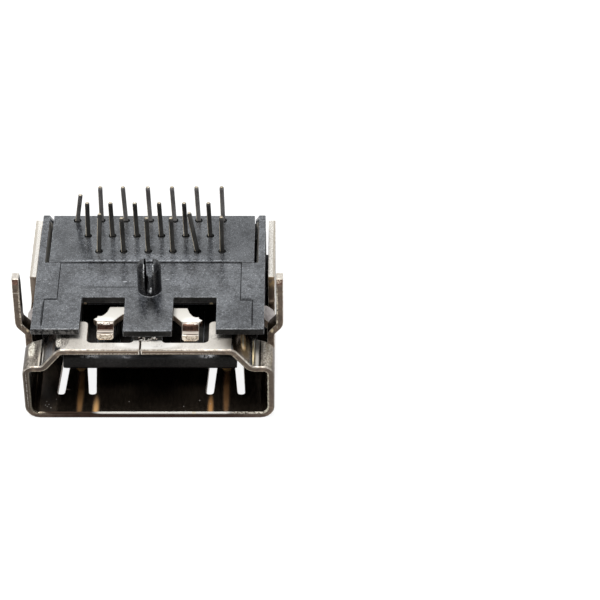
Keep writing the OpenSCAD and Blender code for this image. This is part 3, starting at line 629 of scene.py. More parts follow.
# Painted highlight: the shell's broken edges are pale, partly the burnish of a sheared edge. The lip's
# bottom edge is painted dark as painted shade, and the highlight is toned down at the lip's sides and upper
# left corner.
BURNISHED_HIGHLIGHT = MetalFinish(
    "burnished_edge_highlight", light=(0.95, 0.9, 0.81), dark=(0.42, 0.34, 0.27), rough=(0.28, 0.45), metallic=0.7,
    blotch=0.3, bump=0.3).marked(
    matt((0.0, LIP_Y, 0.0), (9.0, 0.5, 0.7), (0.05, 0.03, 0.024), 0.95, 0.6),
    Mark((-5.85, -6.28, 4.65), (0.75, 0.4, 0.7), (0.3, 0.25, 0.2), 0.6, 0.6),
    Mark((-7.45, LIP_Y, 2.2), (0.3, 0.5, 2.0), (0.09, 0.075, 0.06), 0.85, 0.7),
    Mark((7.45, LIP_Y, 2.2), (0.3, 0.5, 2.2), (0.09, 0.075, 0.06), 0.85, 0.7),
)
CHAMFERED = MetalFinish(
    "lead_in_chamfer", light=(0.5, 0.43, 0.33), dark=(0.06, 0.045, 0.033), rough=(0.2, 0.4), metallic=0.8,
    blotch=0.14, grain=0.05, bump=0.5, sparkle=0.12, glint=(1.0, 0.93, 0.78)).marked(
    # Painted highlights and painted shade on the lip's inner chamfer: the white bottom line, bright lines
    # and flecked spots are highlights; the dark bottom, left side and top are shade.
    matt((0.0, LIP_Y, 0.42), (6.8, 0.6, 0.3), (0.06, 0.04, 0.03), 1.0, 0.9),
    matt((0.8, LIP_Y, 0.42), (4.4, 0.6, 0.3), (1.0, 0.98, 0.93), 1.0, 0.85),
    matt((5.8, LIP_Y, 0.42), (1.0, 0.6, 0.3), (0.85, 0.8, 0.7), 0.9, 0.8, 0.08),
    matt((2.63, LIP_Y, 0.36), (0.16, 0.5, 0.12), (1.0, 0.93, 0.75), 1.0, 0.5),
    matt((6.95, LIP_Y, 1.8), (0.5, 0.6, 1.9), (1.0, 0.94, 0.76), 1.0, 0.85, 0.2),
    matt((6.6, LIP_Y, 0.6), (0.5, 0.6, 0.35), (1.0, 0.96, 0.85), 0.9, 0.5, 0.12),
    Mark((-7.05, LIP_Y, 2.2), (0.3, 0.6, 1.9), (0.1, 0.09, 0.07), 0.85, 0.9),
    matt((-5.75, LIP_Y, 4.35), (1.0, 0.6, 0.9), (0.9, 0.8, 0.64), 0.65, 0.7, 0.12),
    matt((5.9, LIP_Y, 4.2), (1.0, 0.6, 0.9), (0.6, 0.5, 0.38), 0.7, 0.7, 0.12),
    Mark((0.0, LIP_Y, 4.99), (5.2, 0.6, 0.35), (0.05, 0.038, 0.03), 0.85, 0.9),
    matt((-2.5, LIP_Y, 4.99), (2.6, 0.6, 0.3), (0.85, 0.78, 0.66), 0.9, 0.8, 0.05),
)
# Painted dark reflection: the springs' steep faces are dark reddish brown, with a painted highlight line
# along their top.
BEND_DARK_REFLECTION = MetalFinish(
    "steep_bend_dark_reflection", light=(0.16, 0.085, 0.06), dark=(0.05, 0.028, 0.02), rough=(0.3, 0.5), metallic=0.8,
    blotch=0.2, grain=0.05, bump=0.3,
    marks=both(matt, (2.6, -3.75, 5.37), (0.6, 0.16, 0.16), (1.0, 0.96, 0.88), 1.0, 0.7, 0.12))
PRESSED = MetalFinish(
    "pressed_tab_end", light=(0.8, 0.72, 0.6), dark=(0.35, 0.27, 0.19), rough=(0.15, 0.3),
    blotch=0.2, grain=0.05, bump=0.5, sparkle=0.1, glint=(1.0, 0.97, 0.9)).marked(
    *both(Mark, (2.56, -4.44, 4.86), (0.39, 0.3, 0.23), (0.1, 0.065, 0.045), 1.0, 0.85),
    *both(Mark, (2.56, -4.44, 4.86), (0.36, 0.3, 0.2), (0.85, 0.75, 0.6), 0.9, 0.8, 0.045),
)
COPPER = MetalFinish(
    "copper_shear", light=(0.27, 0.15, 0.11), dark=(0.07, 0.036, 0.028), rough=(0.35, 0.55), metallic=0.7,
    blotch=0.16, grain=0.05, bump=0.4, sparkle=0.08, glint=(0.9, 0.7, 0.55),
    # Painted highlight: a pale spot on the right leg's tip.
    marks=(matt((7.7, -3.5, 8.35), (0.25, 0.3, 0.2), (1.0, 0.85, 0.66), 0.9, 0.6, 0.07),))
HOUSING = PlasticFinish(
    "housing_plastic", light=(0.05, 0.055, 0.064), dark=(0.012, 0.013, 0.016), rough=(0.17, 0.3),
    specular=1.0, ior=1.75, least_sheen=0.52, speck_share=0.85).marked(
    # Painted shade: black lines in the gaps along the tail plate's seam and around the board face's front
    # corners.
    matt((0.0, 0.84, BOARD_Z), (5.3, 0.13, 0.3), GAP, 1.0, 0.8),
    matt((-6.29, -4.0, BOARD_Z), (0.085, 1.4, 0.3), GAP, 0.8, 0.7),
    matt((-5.85, -2.62, BOARD_Z), (0.5, 0.09, 0.3), GAP, 0.9, 0.7),
    matt((6.16, -4.0, BOARD_Z), (0.075, 1.4, 0.3), GAP, 0.7, 0.7),
    matt((5.75, -2.62, BOARD_Z), (0.45, 0.08, 0.3), GAP, 0.8, 0.7),
    matt((5.9, -4.2, BOARD_Z), (1.8, 1.8, 0.2), (0.02, 0.021, 0.023), 0.3, 0.3),
    # Painted shade: the nose top is darkened.
    Mark((0.0, -4.3, BOARD_Z), (1.7, 1.7, 0.2), (0.005, 0.005, 0.006), 0.5, 0.3),
    # Painted sheen: lighter cloudy patches left and right of the peg.
    Mark((-3.4, -0.9, BOARD_Z), (2.2, 0.9, 0.2), SLATE, 0.8, 0.2, 0.12),
    Mark((2.0, -0.9, BOARD_Z), (1.3, 0.9, 0.2), SLATE, 0.8, 0.2, 0.12),
    # Painted dark reflection of the peg on the board face in front of it.
    matt((0.15, -3.0, BOARD_Z), (0.5, 1.0, 0.2), DEEP, 0.8, 0.2),
    Mark((1.0, -0.78, BOARD_Z), (0.2, 0.025, 0.05), (0.6, 0.62, 0.66), 0.8, 0.5, 0.3),
    Mark((1.42, -0.95, BOARD_Z), (0.25, 0.025, 0.05), SILVER, 0.8, 0.5, 0.3),
    matt((-2.2, -1.5, BOARD_Z), (2.2, 0.06, 0.3), DEEP, 0.7, 0.6),
    Mark((-6.5, -0.2, BOARD_Z), (0.03, 1.2, 0.05), (0.008, 0.008, 0.008), 0.8, 0.7, 0.2),
    Mark((-1.6, -1.0, BOARD_Z), (0.25, 0.04, 0.05), (0.6, 0.62, 0.66), 0.9, 0.7, 0.15),
)
# Painted shade: a duller, darker copy of the housing plastic for faces that do not face up.
SIDE_PLASTIC = PlasticFinish(
    "housing_side", light=(0.035, 0.033, 0.032), dark=(0.014, 0.013, 0.012), rough=(0.4, 0.55),
    specular=0.16, speck_share=0.08, grit=0.2).marked(
    # Painted sheen: a light flecked patch on the left foot's front.
    Mark((-5.6, -5.35, 6.0), (1.7, 0.2, 0.4), (0.3, 0.29, 0.28), 0.8, 0.7, 0.18),
    # Painted shade: the nose's front is darkened.
    matt((0.0, -5.35, 5.85), (1.9, 0.3, 0.6), (0.008, 0.0075, 0.007), 0.5, 0.8),
    # Painted light: the rails' inner faces are painted pale where they lie in shade.
    *both(Mark, (6.46, 3.4, 6.0), (0.2, 3.6, 0.9), (0.6, 0.57, 0.51), 0.95, 0.7),
    # Painted sheen and highlights: a bluish band and light streaks along the tongue's front edge.
    Mark((0.0, -4.2, 3.1), (6.0, 0.25, 0.3), (0.1, 0.107, 0.12), 0.7, 0.1),
    Mark((-3.6, -4.2, 3.08), (0.75, 0.3, 0.13), (0.7, 0.72, 0.76), 0.8, 0.2, 0.16),
    Mark((-1.5, -4.2, 3.05), (0.5, 0.3, 0.1), (0.45, 0.46, 0.5), 0.8, 0.2, 0.16),
    Mark((3.5, -4.2, 3.1), (0.7, 0.3, 0.15), (0.7, 0.72, 0.76), 0.8, 0.2, 0.16),
    # Painted reflections: small gold spots on the housing beside the springs.
    Mark((-3.94, -1.7, 5.14), (0.15, 0.3, 0.11), (0.9, 0.7, 0.48), 1.0, 0.5),
    Mark((3.66, -1.7, 5.11), (0.14, 0.3, 0.13), (1.0, 0.82, 0.5), 1.0, 0.5),
)
# Painted shade: a darker, duller copy of the plastic for the grooves and the tail plate's holes.
GROOVE = PlasticFinish(
    "groove_painted_shade", light=(0.02, 0.02, 0.021), dark=(0.008, 0.008, 0.009), rough=(0.5, 0.6), specular=0.1,
    speck_share=0.0, grit=0.0)
# Painted highlight: the plastic's broken edges are pale, with brighter flecked lines along the feet's front
# edges; the seam with the tail plate is painted shade.
PLASTIC_EDGE_SHINE = PlasticFinish(
    "plastic_edge_highlight", light=(0.2, 0.21, 0.225), dark=(0.06, 0.063, 0.07),
    rough=(0.3, 0.45)).marked(
    Mark((-5.1, -5.35, 6.22), (1.2, 0.15, 0.1), (0.62, 0.64, 0.66), 0.9, 0.8, 0.14),
    Mark((5.0, -5.35, 6.22), (1.5, 0.15, 0.1), (0.4, 0.42, 0.44), 0.8, 0.8, 0.14),
    matt((0.0, 0.87, BOARD_Z), (5.3, 0.1, 0.1), (0.01, 0.01, 0.01), 0.9, 0.8),
)
TAIL_PLASTIC = PlasticFinish(
    "tail_plate_plastic", light=(0.045, 0.05, 0.058), dark=(0.016, 0.018, 0.021), rough=(0.15, 0.26),
    specular=1.0, ior=1.72, least_sheen=0.55, blotch=1.5, speck_share=0.55, grit=0.5).marked(
    # Painted highlight along the plate's front edge.
    Mark((0.0, 1.02, BOARD_Z), (6.2, 0.075, 0.3), (0.42, 0.44, 0.48), 0.75, 0.7, 0.2),
    # Painted sheen: a lighter patch on the plate.
    Mark((0.6, 1.3, BOARD_Z), (4.6, 0.45, 0.2), SLATE, 0.85, 0.3, 0.12),
    Mark((-6.0, 1.4, BOARD_Z), (0.25, 0.4, 0.2), (0.2, 0.21, 0.23), 0.6, 0.2, 0.08),
    Mark((-1.9, 1.75, BOARD_Z), (0.16, 0.05, 0.2), SILVER, 0.8, 0.3, 0.1),
    Mark((0.35, 2.3, BOARD_Z), (0.25, 0.06, 0.2), SILVER, 0.7, 0.3, 0.1),
    matt((5.2, 3.4, BOARD_Z), (2.4, 3.0, 0.2), (0.02, 0.021, 0.023), 0.35, 0.2),
    Mark((-2.9, 2.0, BOARD_Z), (0.9, 1.1, 0.2), (0.1, 0.11, 0.12), 0.6, 0.2, 0.15),
)
PEG_PLASTIC = PlasticFinish(
    "peg_plastic", light=(0.03, 0.031, 0.034), dark=(0.01, 0.01, 0.011), rough=(0.14, 0.28), grit=0.2,
    specular=0.8, speck=0.14, speck_share=0.6, speck_colour=(0.3, 0.31, 0.33), bump=1.0).marked(
    # Painted highlights on the prongs' inner top edges.
    Mark((-0.28, -2.3, 8.0), (0.05, 0.7, 0.7), (0.8, 0.82, 0.84), 0.95, 0.6, 0.07),
    Mark((0.27, -2.3, 8.2), (0.05, 0.7, 0.45), (0.6, 0.62, 0.64), 0.8, 0.6, 0.09),
    # Painted shade: the slot's left wall is black and the right prong's side darker.
    matt((-0.17, -1.7, 7.6), (0.11, 1.5, 1.7), DEEP, 1.0, 0.7),
    matt((0.55, -1.8, 7.2), (0.34, 1.2, 1.5), (0.006, 0.006, 0.007), 0.7, 0.5),
    # Painted highlight on the slot's floor.
    Mark((0.1, -2.25, 6.6), (0.12, 0.3, 0.2), (0.85, 0.87, 0.9), 0.95, 0.5, 0.08),
)
# Painted shade: the contacts darken near their feet, where they enter the board.
PIN_FOOT_SHADE = Mark((0.0, 2.5, 6.1), (30.0, 30.0, 0.24), (0.004, 0.004, 0.004), 1.0, 0.7)
PIN_METAL = MetalFinish(
    "contact_alloy", light=(0.095, 0.092, 0.087), dark=(0.04, 0.039, 0.037), rough=(0.35, 0.5),
    metallic=0.45, blotch=0.5, stretch=(1.0, 1.0, 0.3), bump=0.2, marks=(PIN_FOOT_SHADE,))
PIN_TIP = MetalFinish(
    "coined_tip", light=(0.72, 0.66, 0.54), dark=(0.34, 0.28, 0.2), rough=(0.25, 0.4), metallic=0.5,
    blotch=0.2, grain=0.05, bump=0.2)
PIN_NECK = MetalFinish(
    "tarnished_neck", light=(0.3, 0.2, 0.12), dark=(0.1, 0.07, 0.05), rough=(0.3, 0.45), metallic=0.6,
    blotch=0.15, grain=0.05, bump=0.2)
# Painted highlight: a pale gold edge on the contacts' left sides.
PIN_EDGE_HIGHLIGHT = MetalFinish(
    "pin_edge_highlight", light=(1.0, 0.92, 0.74), dark=(0.4, 0.33, 0.24), rough=(0.3, 0.45), metallic=0.0,
    blotch=0.25, grain=0.05, stretch=(1.0, 1.0, 0.3), bump=0.2, marks=(PIN_FOOT_SHADE,))
# Painted light: the far contacts are a lighter copy of the contact alloy.
PIN_BACK = replace(
    PIN_METAL, name="contact_alloy_far_painted_light", light=(0.34, 0.326, 0.32), dark=(0.2, 0.19, 0.186), metallic=0.4)


# Meshes


def within(value: float, span: Span) -> bool:
    """True for a value inside a span."""
    return span[0] < value < span[1]


def has_skin(edge: BMEdge, *skins: Enum) -> bool:
    """True for an edge that has a face with one of the skins."""
    return any(face.material_index in [skin.value for skin in skins] for face in edge.link_faces)


def dress(faces: list[BMFace], skin: Enum) -> None:
    """Gives a skin to faces."""
    for face in faces:
        face.material_index = skin.value


def bring_in(node: Object) -> BMesh:
    """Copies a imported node's mesh in millimetres, merged and with its flat faces whole.

    Args:
        node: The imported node.

    Returns:
        A mesh to work on.
    """
    bm = bmesh.new()
    bm.from_mesh(node.data)
    bmesh.ops.scale(bm, vec=(1.0 / MM,) * 3, verts=bm.verts)
    bmesh.ops.remove_doubles(bm, verts=bm.verts, dist=MERGE)
    bmesh.ops.dissolve_degenerate(bm, dist=MERGE, edges=bm.edges)
    bmesh.ops.dissolve_limit(
        bm, angle_limit=math.radians(FLAT), use_dissolve_boundaries=False, verts=bm.verts, edges=bm.edges)
    return bm


def sharp_edges(bm: BMesh, angle: float, wanted: Callable[[BMEdge], bool] | None = None) -> list[BMEdge]:
    """Finds edges that fold by more than an angle.

    Args:
        bm: The mesh.
        angle: The least fold in degrees.
        wanted: A test that an edge has to pass as well.

    Returns:
        The edges.
    """
    limit = math.radians(angle)
    return [
        e for e in bm.edges
        if len(e.link_faces) == 2 and e.calc_face_angle(0.0) > limit and (wanted is None or wanted(e))
    ]


def break_edges(bm: BMesh, edges: list[BMEdge], width: float, segments: int = 2) -> list[BMFace]:
    """Rounds edges.

    Args:
        bm: The mesh.
        edges: The edges.
        width: How far the rounding reaches from the edge, in millimetres.
        segments: Steps in the rounding.

    Returns:
        The new faces.
    """
    made = bmesh.ops.bevel(
        bm, geom=edges, offset=width, offset_type="OFFSET", segments=segments, profile=0.5,
        affect="EDGES", clamp_overlap=False, material=-1, loop_slide=True)
    return made["faces"]


def put_out(bm: BMesh, name: str, materials: list[Material], slot: str, *nodes: str) -> Object:
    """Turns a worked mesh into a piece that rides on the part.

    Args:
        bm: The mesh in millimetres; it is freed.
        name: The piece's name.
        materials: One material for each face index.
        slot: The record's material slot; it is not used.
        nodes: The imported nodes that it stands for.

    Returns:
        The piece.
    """
    for face in bm.faces:
        face.smooth = True
    for edge in bm.edges:
        edge.smooth = not (len(edge.link_faces) == 2 and edge.calc_face_angle(0.0) > math.radians(CREASE))
    bmesh.ops.scale(bm, vec=(MM,) * 3, verts=bm.verts)
    mesh = bpy.data.meshes.new(name)
    bm.to_mesh(mesh)
    bm.free()
    for material in materials:
        mesh.materials.append(material)
    piece = bpy.data.objects.new(name, mesh)
    bpy.context.scene.collection.objects.link(piece)
    even = piece.modifiers.new("even_normals", "WEIGHTED_NORMAL")
    even.keep_sharp = True
    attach(piece, "root")
    if nodes:
        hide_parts(*nodes)
    return piece


# Pieces


@dataclass(frozen=True)
class Zone:
    """A skin by distance from the middle plane, from the lip and from the floor, and by how faces lean."""

    skin: Skin
    across: Span
    back: Span
    up: Span
    facing: Callable[[Vector], bool]

    def holds(self, across: float, back: float, up: float) -> bool:
        """True for a place in the zone."""
        return within(across, self.across) and within(back, self.back) and within(up, self.up)


def is_upper(normal: Vector) -> bool:
    """True for a face on the outside of a slope or shoulder."""
    return normal.z > 0.15 or normal.x > 0.5


# The first zone that holds a face gives its skin; the normal's x counts outwards
END = 99.0
ALL = (-END, END)
FINGER_X = (1.9, 3.2)
COLLAR = (-END, 2.62)
OVER_SLOPE = (3.45, END)
# Several skins take painted light or shade: the springs' pale sheet, the steep bend's dark reflection, the
# dark slopes, the darker shoulders, the shaded legs and the dark inside of the mouth.
ZONES = (
    Zone(Skin.PRESSED, FINGER_X, (1.7, 1.9), (4.0, END), lambda n: n.y < -0.5),
    Zone(Skin.STEEP_BEND, FINGER_X, (2.15, 2.66), (4.0, END), lambda n: n.y < -0.5),
    Zone(Skin.FINGER, FINGER_X, (1.7, 2.66), (4.0, END), lambda n: n.z > 0.5),
    Zone(Skin.SHOULDER, (6.58, END), COLLAR, OVER_SLOPE, lambda n: is_upper(n) and n.z < 0.999),
    Zone(Skin.SHOULDER, (6.18, END), COLLAR, OVER_SLOPE, lambda n: n.z > 0.995),
    Zone(Skin.DRAWN, (4.95, 6.58), COLLAR, OVER_SLOPE, lambda n: is_upper(n) and n.z < 0.985),
    Zone(Skin.TAB, (6.5, END), (3.79, 5.31), (3.8, END), lambda n: abs(n.y) < 0.95),
    Zone(Skin.SHADED, (7.0, END), (2.7, 3.75), (4.2, END), lambda n: n.x < -0.6),
    Zone(Skin.SHADED, (7.0, END), (5.3, 7.0), (3.23, 3.27), lambda n: True),
    Zone(Skin.CUT, (7.0, END), ALL, (7.55, 8.1), lambda n: n.y < -0.7),
    Zone(Skin.TIP, ALL, ALL, (7.55, END), lambda n: abs(n.x) < 0.9 and n.z < 0.95),
    Zone(Skin.FACE, ALL, ALL, (7.55, END), lambda n: abs(n.x) < 0.9),
    Zone(Skin.FINGER, (1.0, 3.4), (2.6, 4.2), (5.3, END), lambda n: n.z > 0.9),
    Zone(Skin.FACE, (-END, 4.1), (11.9, END), ALL, lambda n: abs(n.y) > 0.7),
    Zone(Skin.CUT, ALL, ALL, ALL, lambda n: abs(n.y) > 0.7),
    Zone(Skin.CUT, (-END, 7.37), ALL, (-END, 0.42), lambda n: abs(n.x) > 0.7),
    Zone(Skin.CUT, (-END, 7.37), ALL, (4.99, END), lambda n: abs(n.x) > 0.7),
)


@dataclass
class FoldedShell:
    """The stamped and folded shell with its springs, tabs and board legs."""

    middle_z: float = 2.7
    lining_x: float = 7.07
    lining_z: float = 5.01
    leg_x: float = 7.5
    leg_step_z: float = 7.6
    fold: float = 28.0
    edge: float = 0.03
    burr: float = 0.07
    lead_in: float = 0.1

    def skin(self, face: BMFace) -> Skin:
        """Tells what a face went through, or which painted shade or light it gets, by where it lies on the
        folded sheet.

        Args:
            face: The face.

        Returns:
            Its skin.
        """
        place = face.calc_center_median()
        across, back = abs(place.x), place.y - LIP_Y
        normal = face.normal.copy()
        normal.x *= math.copysign(1.0, place.x)
        for zone in ZONES:
            if zone.holds(across, back, place.z) and zone.facing(normal):
                return zone.skin
        # Faces inside the mouth take the dark inner sheet, which is painted shade.
        inward = (self.middle_z - place.z) * normal.z - across * normal.x
        is_inside = inward > 0.1 and across < self.lining_x and place.z < self.lining_z
        return Skin.INSIDE if is_inside else Skin.FACE

    def on_lip(self, edge: BMEdge) -> bool:
        """True for an edge of the collar's front face."""
        return all(abs(v.co.y - LIP_Y) < 0.002 for v in edge.verts)

    def build(self) -> list[Object]:
        """Copies, breaks and dresses the shell.

        Returns:
            The piece, in a list.
        """
        bm = bring_in(frame["nodes"]["shell"])
        for face in bm.faces:
            face.material_index = self.skin(face).value
        inner = sharp_edges(bm, self.fold, lambda e: self.on_lip(e) and has_skin(e, Skin.INSIDE))
        dress(break_edges(bm, inner, self.lead_in, 3), Skin.CHAMFER)
        # The lip's outer edges take the pale painted highlight.
        outer = sharp_edges(
            bm, self.fold, lambda e: self.on_lip(e) and not has_skin(e, Skin.INSIDE, Skin.CHAMFER))
        dress(break_edges(bm, outer, self.burr, 3), Skin.EDGE)
        # The other broken edges take the pale painted highlight too, except on the legs' step.
        rest = sharp_edges(bm, self.fold, lambda e: not has_skin(e, Skin.CHAMFER, Skin.EDGE))
        for face in break_edges(bm, rest, self.edge):
            place = face.calc_center_median()
            level = abs(place.z - self.leg_step_z) < 0.1
            on_step = level and abs(place.x) > self.leg_x and abs(face.normal.x) < 0.5
            face.material_index = (Skin.CUT if on_step else Skin.EDGE).value
        for vert in bm.verts:
            vert.co.z = max(vert.co.z, 0.0)
        materials = [finish.make() for finish in (
            NICKEL, SHEARED, BURNISHED_HIGHLIGHT, BEND_DARK_REFLECTION, COPPER, INSIDE, DRAWN, SHOULDER, CHAMFERED, PRESSED,
            SHADED, TAB, FINGER)]
        return [put_out(bm, "folded_shell", materials, "shell_metal", "shell")]


@dataclass(frozen=True)
class Heap:
    """Slivers that lie together: how many, where, how far they scatter, how large and how high."""

    count: int
    at: Point
    scatter: tuple[Span, Span, Span]
    share: float = 1.0
    rise: float = 0.0


@dataclass
class Burrs:
    """Slivers that the folding tools left by the nose and at the seam's end."""

    seed: int = 5
    size: Span = (0.03, 0.065)
    shape: Point = (2.0, 0.8, 0.7)
    rounding: float = 0.2
    lean: Span = (-0.7, 0.7)
    turn: float = 3.0
    heaps: tuple[Heap, ...] = (
        Heap(34, (0.0, -5.5, BAND_Z), ((-0.5, 0.56), (-0.05, 0.04), (0.03, 0.3)), rise=0.3),
        Heap(6, (-0.38, -6.22, 5.36), ((-0.07, 0.08), (0.0, 0.03), (-0.2, 0.03)), share=0.8))

    def sliver(self, bm: BMesh, at: Vector, size: float, lean: float, metal: int) -> None:
        """Adds one bent sliver with rounded edges.

        Args:
            bm: The mesh that it is added to.
            at: Its centre.
            size: Its half-length.
            lean: Its lean, from which its turn about the vertical follows.
            metal: Its material index.
        """
        verts = bmesh.ops.create_cube(bm, size=1.0)["verts"]
        spin = Matrix.Rotation(lean * self.turn, 4, "Z") @ Matrix.Rotation(lean, 4, "X")
        shape = Matrix.Translation(at) @ spin @ Matrix.Diagonal((*scaled(self.shape, size), 1.0))
        bmesh.ops.transform(bm, matrix=shape, verts=verts)
        faces = {face for vert in verts for face in vert.link_faces}
        edges = list({edge for vert in verts for edge in vert.link_edges})
        faces.update(break_edges(bm, edges, size * self.rounding))
        for face in faces:
            if face.is_valid:
                face.material_index = metal

    def build(self) -> list[Object]:
        """Scatters the slivers.

        Returns:
            The piece, in a list.
        """
        chance = random.Random(self.seed)
        bm = bmesh.new()
        for heap in self.heaps:
            for number in range(heap.count):
                size = chance.uniform(*self.size) * heap.share
                at = Vector([middle + chance.uniform(*span) for middle, span in zip(heap.at, heap.scatter)])
                at.z += size * heap.rise
                self.sliver(bm, at, size, chance.uniform(*self.lean), number % 2)
        # The slivers take the springs' near-white painted light and the copper shear.
        return [put_out(bm, "forming_burrs", [FINGER.make(), COPPER.make()], "shell_metal")]


@dataclass
class Housing:
    """The black moulding with its board face, rails, tongue and split peg."""

    fold: float = 50.0
    edge: float = 0.035
    shortest: float = 0.1
    peg_y: float = -1.7
    peg_reach: float = 0.8
    peg_foot_z: float = 6.3
    peg_fold: float = 28.0
    peg_edge: float = 0.06
    groove_z: Span = (6.1, 6.23)
    top_z: float = 5.6

    def on_peg(self, place: Vector) -> bool:
        """True for a point of the split peg."""
        return place.z > self.peg_foot_z and math.hypot(place.x, place.y - self.peg_y) < self.peg_reach

    def skin(self, face: BMFace) -> MouldSkin:
        """Tells the board face from sides, peg and witness grooves.

        Args:
            face: The face.

        Returns:
            Its skin.
        """
        place = face.calc_center_median()
        if self.on_peg(place):
            return MouldSkin.PEG
        # Groove faces take the darker, duller plastic: painted shade.
        if within(place.z, self.groove_z):
            return MouldSkin.GROOVE
        return MouldSkin.TOP if face.normal.z > 0.5 and place.z > self.top_z else MouldSkin.SIDE

    def build(self) -> list[Object]:
        """Copies, breaks and dresses the moulding.

        Returns:
            The piece, in a list.
        """
        bm = bring_in(frame["nodes"]["insulator"])
        for face in bm.faces:
            face.material_index = self.skin(face).value
        peg = sharp_edges(bm, self.peg_fold, lambda e: all(self.on_peg(v.co) for v in e.verts))
        break_edges(bm, peg, self.peg_edge, 3)
        rest = sharp_edges(bm, self.fold, lambda e: not self.on_peg(e.verts[0].co)
                           and e.calc_length() > self.shortest and not has_skin(e, MouldSkin.GROOVE))
        # Broken edges take the pale painted highlight.
        dress(break_edges(bm, rest, self.edge), MouldSkin.PLASTIC_EDGE_SHINE)
        materials = [finish.make() for finish in (HOUSING, PEG_PLASTIC, PLASTIC_EDGE_SHINE, SIDE_PLASTIC, GROOVE)]
        return [put_out(bm, "housing", materials, "insulator_plastic", "insulator")]


@dataclass
class TailPlate:
    """The loose plate that lines up the tails."""

    fold: float = 50.0
    edge: float = 0.03
    shortest: float = 0.15
    top_z: float = 6.235

    def build(self) -> list[Object]:
        """Copies, breaks and dresses the plate.

        Returns:
            The piece, in a list.
        """
        bm = bring_in(frame["nodes"]["tail_plate"])
        # Faces below the top, in the holes, take the darker, duller plastic: painted shade.
        for face in bm.faces:
            on_top = face.calc_center_median().z > self.top_z
            face.material_index = (PlateSkin.TOP if on_top else PlateSkin.GROOVE).value
        edges = sharp_edges(bm, self.fold, lambda e: e.calc_length() > self.shortest)
        # Broken edges take the pale painted highlight.
        dress(break_edges(bm, edges, self.edge), PlateSkin.PLASTIC_EDGE_SHINE)
        materials = [finish.make() for finish in (TAIL_PLASTIC, PLASTIC_EDGE_SHINE, GROOVE)]
        return [put_out(bm, "tail_aligner", materials, "plate_plastic", "tail_plate")]


@dataclass
class Contacts:
    """The nineteen stamped contacts, with their coined tails."""

    count: int = 19
    fold: float = 40.0
    edge: float = 0.03
    cap: float = 0.06
    neck: float = 0.26
    near_y: float = 1.4
    far_y: float = 3.6

    def skin(self, below: float) -> PinSkin:
        """The skin of a face that lies so far below the contact's top."""
        return PinSkin.TIP if below < self.cap else PinSkin.NECK if below < self.neck else PinSkin.BODY

    def dress_contact(self, bm: BMesh, top: Vector) -> None:
        """Cuts a contact at its tip and neck, breaks its edges and gives every face its skin.

        Args:
            bm: The contact's mesh.
            top: Its highest point.
        """
        for depth in (self.cap, self.neck):
            bmesh.ops.bisect_plane(
                bm, geom=bm.verts[:] + bm.edges[:] + bm.faces[:], plane_co=(0.0, 0.0, top.z - depth),
                plane_no=(0.0, 0.0, 1.0))
        for face in bm.faces:
            face.material_index = self.skin(top.z - face.calc_center_median().z).value
        break_edges(bm, sharp_edges(bm, self.fold), self.edge)
        bm.normal_update()
        # Faces on each contact's lower left edges take the pale painted highlight.
        for face in bm.faces:
            n = face.normal
            low = face.calc_center_median().z < top.z - self.neck
            if low and within(n.x, (-0.98, -0.25)) and n.y < -0.15 and abs(n.z) < 0.5:
                face.material_index = PinSkin.EDGE.value
        if top.y > self.near_y:
            dress([face for face in bm.faces if face.material_index == PinSkin.NECK.value], PinSkin.BODY)

    def build(self) -> list[Object]:
        """Copies, breaks and dresses each contact.

        Returns:
            The pieces.
        """
        front = [finish.make() for finish in (PIN_METAL, PIN_TIP, PIN_NECK, PIN_EDGE_HIGHLIGHT)]
        far = [PIN_BACK.make(), *front[1:]]
        pieces = []
        for number in range(1, self.count + 1):
            node = f"contact_{number:02d}"
            bm = bring_in(frame["nodes"][node])
            top = max(bm.verts, key=lambda v: v.co.z).co.copy()
            self.dress_contact(bm, top)
            # The far contacts take the lighter copy: painted light.
            materials = far if top.y > self.far_y else front
            pieces.append(put_out(bm, f"pin_{number:02d}", materials, "contact_metal", node))
        return pieces


# Studio


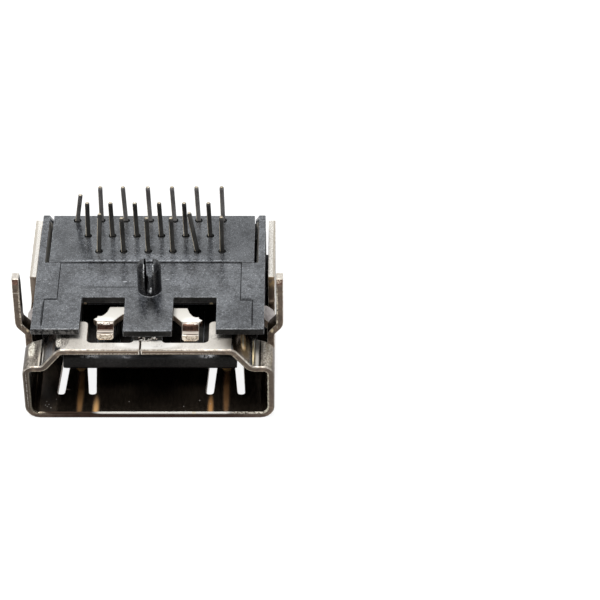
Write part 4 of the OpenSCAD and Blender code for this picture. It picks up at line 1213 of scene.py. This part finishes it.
@dataclass
class Studio:
    """Floor, lamp, sky and the camera at the photograph's place."""

    floor_half: float = 0.5
    floor_z: float = -0.00002
    floor_grey: float = 0.22
    floor_glow: float = 0.9
    lamp_at: Point = (-0.03, -0.06, 0.3)
    lamp_size: float = 0.13
    lamp_power: float = 0.82
    lamp_colour: Colour = (1.0, 0.985, 0.96)
    sky_axis: Point = (0.0, 0.62, 0.785)
    sky_span: Span = (0.5, 0.88)
    sky_level: Span = (0.09, 1.12)
    sky_on_matt: float = 0.8
    sky_colour: Colour = (0.95, 0.975, 1.0)
    camera_at: Point = (0.009, -0.1248, 0.10938)
    camera_dir: Point = (0.0, 0.7639, -0.6453)
    lens: float = 160.8
    sensor: float = 36.0
    clip: Span = (0.005, 10.0)

    def floor_material(self) -> Material:
        """Builds a matt surface that glows for the camera and in reflections, and is clear from below.

        Returns:
            The material.
        """
        material, w = new_material("pale_floor")
        matt = w.add("BsdfDiffuse", Color=(self.floor_grey,) * 3)
        glow = w.add("Emission", Color=(1.0, 1.0, 1.0), Strength=self.floor_glow)
        rays = w.add("LightPath").outputs
        mirrored = w.maths("MAXIMUM", rays["Is Glossy Ray"], rays["Is Transmission Ray"])
        lift = w.add("MixShader", Fac=w.maths("MAXIMUM", rays["Is Camera Ray"], mirrored))
        lit = w.add("AddShader")
        under = w.add("MixShader", Fac=w.add("NewGeometry").outputs["Backfacing"])
        for shader, socket, source in (
                (lit, 0, matt), (lit, 1, glow), (lift, 1, matt), (lift, 2, lit), (under, 1, lift),
                (under, 2, w.add("BsdfTransparent"))):
            w.join(shader.inputs[socket], source.outputs[0])
        w.add("OutputMaterial", Surface=under.outputs[0])
        return material

    def floor(self) -> None:
        """Lays a pale floor that shows white and keeps the shadow."""
        bm = bmesh.new()
        bmesh.ops.create_grid(bm, x_segments=1, y_segments=1, size=self.floor_half)
        bmesh.ops.translate(bm, vec=(0.0, 0.0, self.floor_z), verts=bm.verts)
        mesh = bpy.data.meshes.new("floor")
        bm.to_mesh(mesh)
        bm.free()
        mesh.materials.append(self.floor_material())
        floor = bpy.data.objects.new("floor", mesh)
        bpy.context.scene.collection.objects.link(floor)

    def lamp(self) -> None:
        """Hangs a soft area lamp that faces the part."""
        data = bpy.data.lights.new("soft_box", "AREA")
        data.shape = "SQUARE"
        data.size = self.lamp_size
        data.energy = self.lamp_power
        data.color = self.lamp_colour
        lamp = bpy.data.objects.new("soft_box", data)
        lamp.location = self.lamp_at
        lamp.rotation_euler = (-Vector(self.lamp_at)).to_track_quat("-Z", "Y").to_euler()
        bpy.context.scene.collection.objects.link(lamp)

    def sky(self) -> None:
        """Makes a plain sky, bright behind and above the part and dim at the horizon."""
        world = bpy.data.worlds.new("studio_sky")
        bpy.context.scene.world = world
        world.use_nodes = True
        w = Wiring(world.node_tree)
        height = w.step("VectorMath", "DOT_PRODUCT", w.add("TexCoord").outputs["Generated"], self.sky_axis)
        level = w.ramp(height.outputs["Value"], *self.sky_span, *self.sky_level)
        matt = w.ramp(w.add("LightPath").outputs["Is Diffuse Ray"], 0.0, 1.0, 1.0, self.sky_on_matt)
        light = w.add("Background", Color=self.sky_colour, Strength=w.maths("MULTIPLY", level, matt))
        w.add("OutputWorld", Surface=light.outputs[0])

    def camera(self) -> None:
        """Puts the camera at the photograph's place."""
        data = bpy.data.cameras.new("photo_camera")
        data.lens = self.lens
        data.sensor_width = self.sensor
        data.clip_start, data.clip_end = self.clip
        camera = bpy.data.objects.new("photo_camera", data)
        camera.location = self.camera_at
        camera.rotation_mode = "QUATERNION"
        camera.rotation_quaternion = Vector(self.camera_dir).to_track_quat("-Z", "Y")
        bpy.context.scene.collection.objects.link(camera)
        bpy.context.scene.camera = camera

    def build(self) -> None:
        """Sets up the whole studio."""
        for step in (self.floor, self.lamp, self.sky, self.camera):
            step()
        bpy.context.scene.view_settings.view_transform = "Standard"


def main() -> None:
    """Builds the studio and every piece in order."""
    logging.basicConfig(level=logging.INFO, format="%(name)s: %(message)s")
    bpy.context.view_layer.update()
    Studio().build()
    for assembly in (FoldedShell(), Burrs(), Housing(), TailPlate(), Contacts()):
        for piece in assembly.build():
            LOG.info("placed %s with %d faces", piece.name, len(piece.data.polygons))


if __name__ == "__main__":
    main()
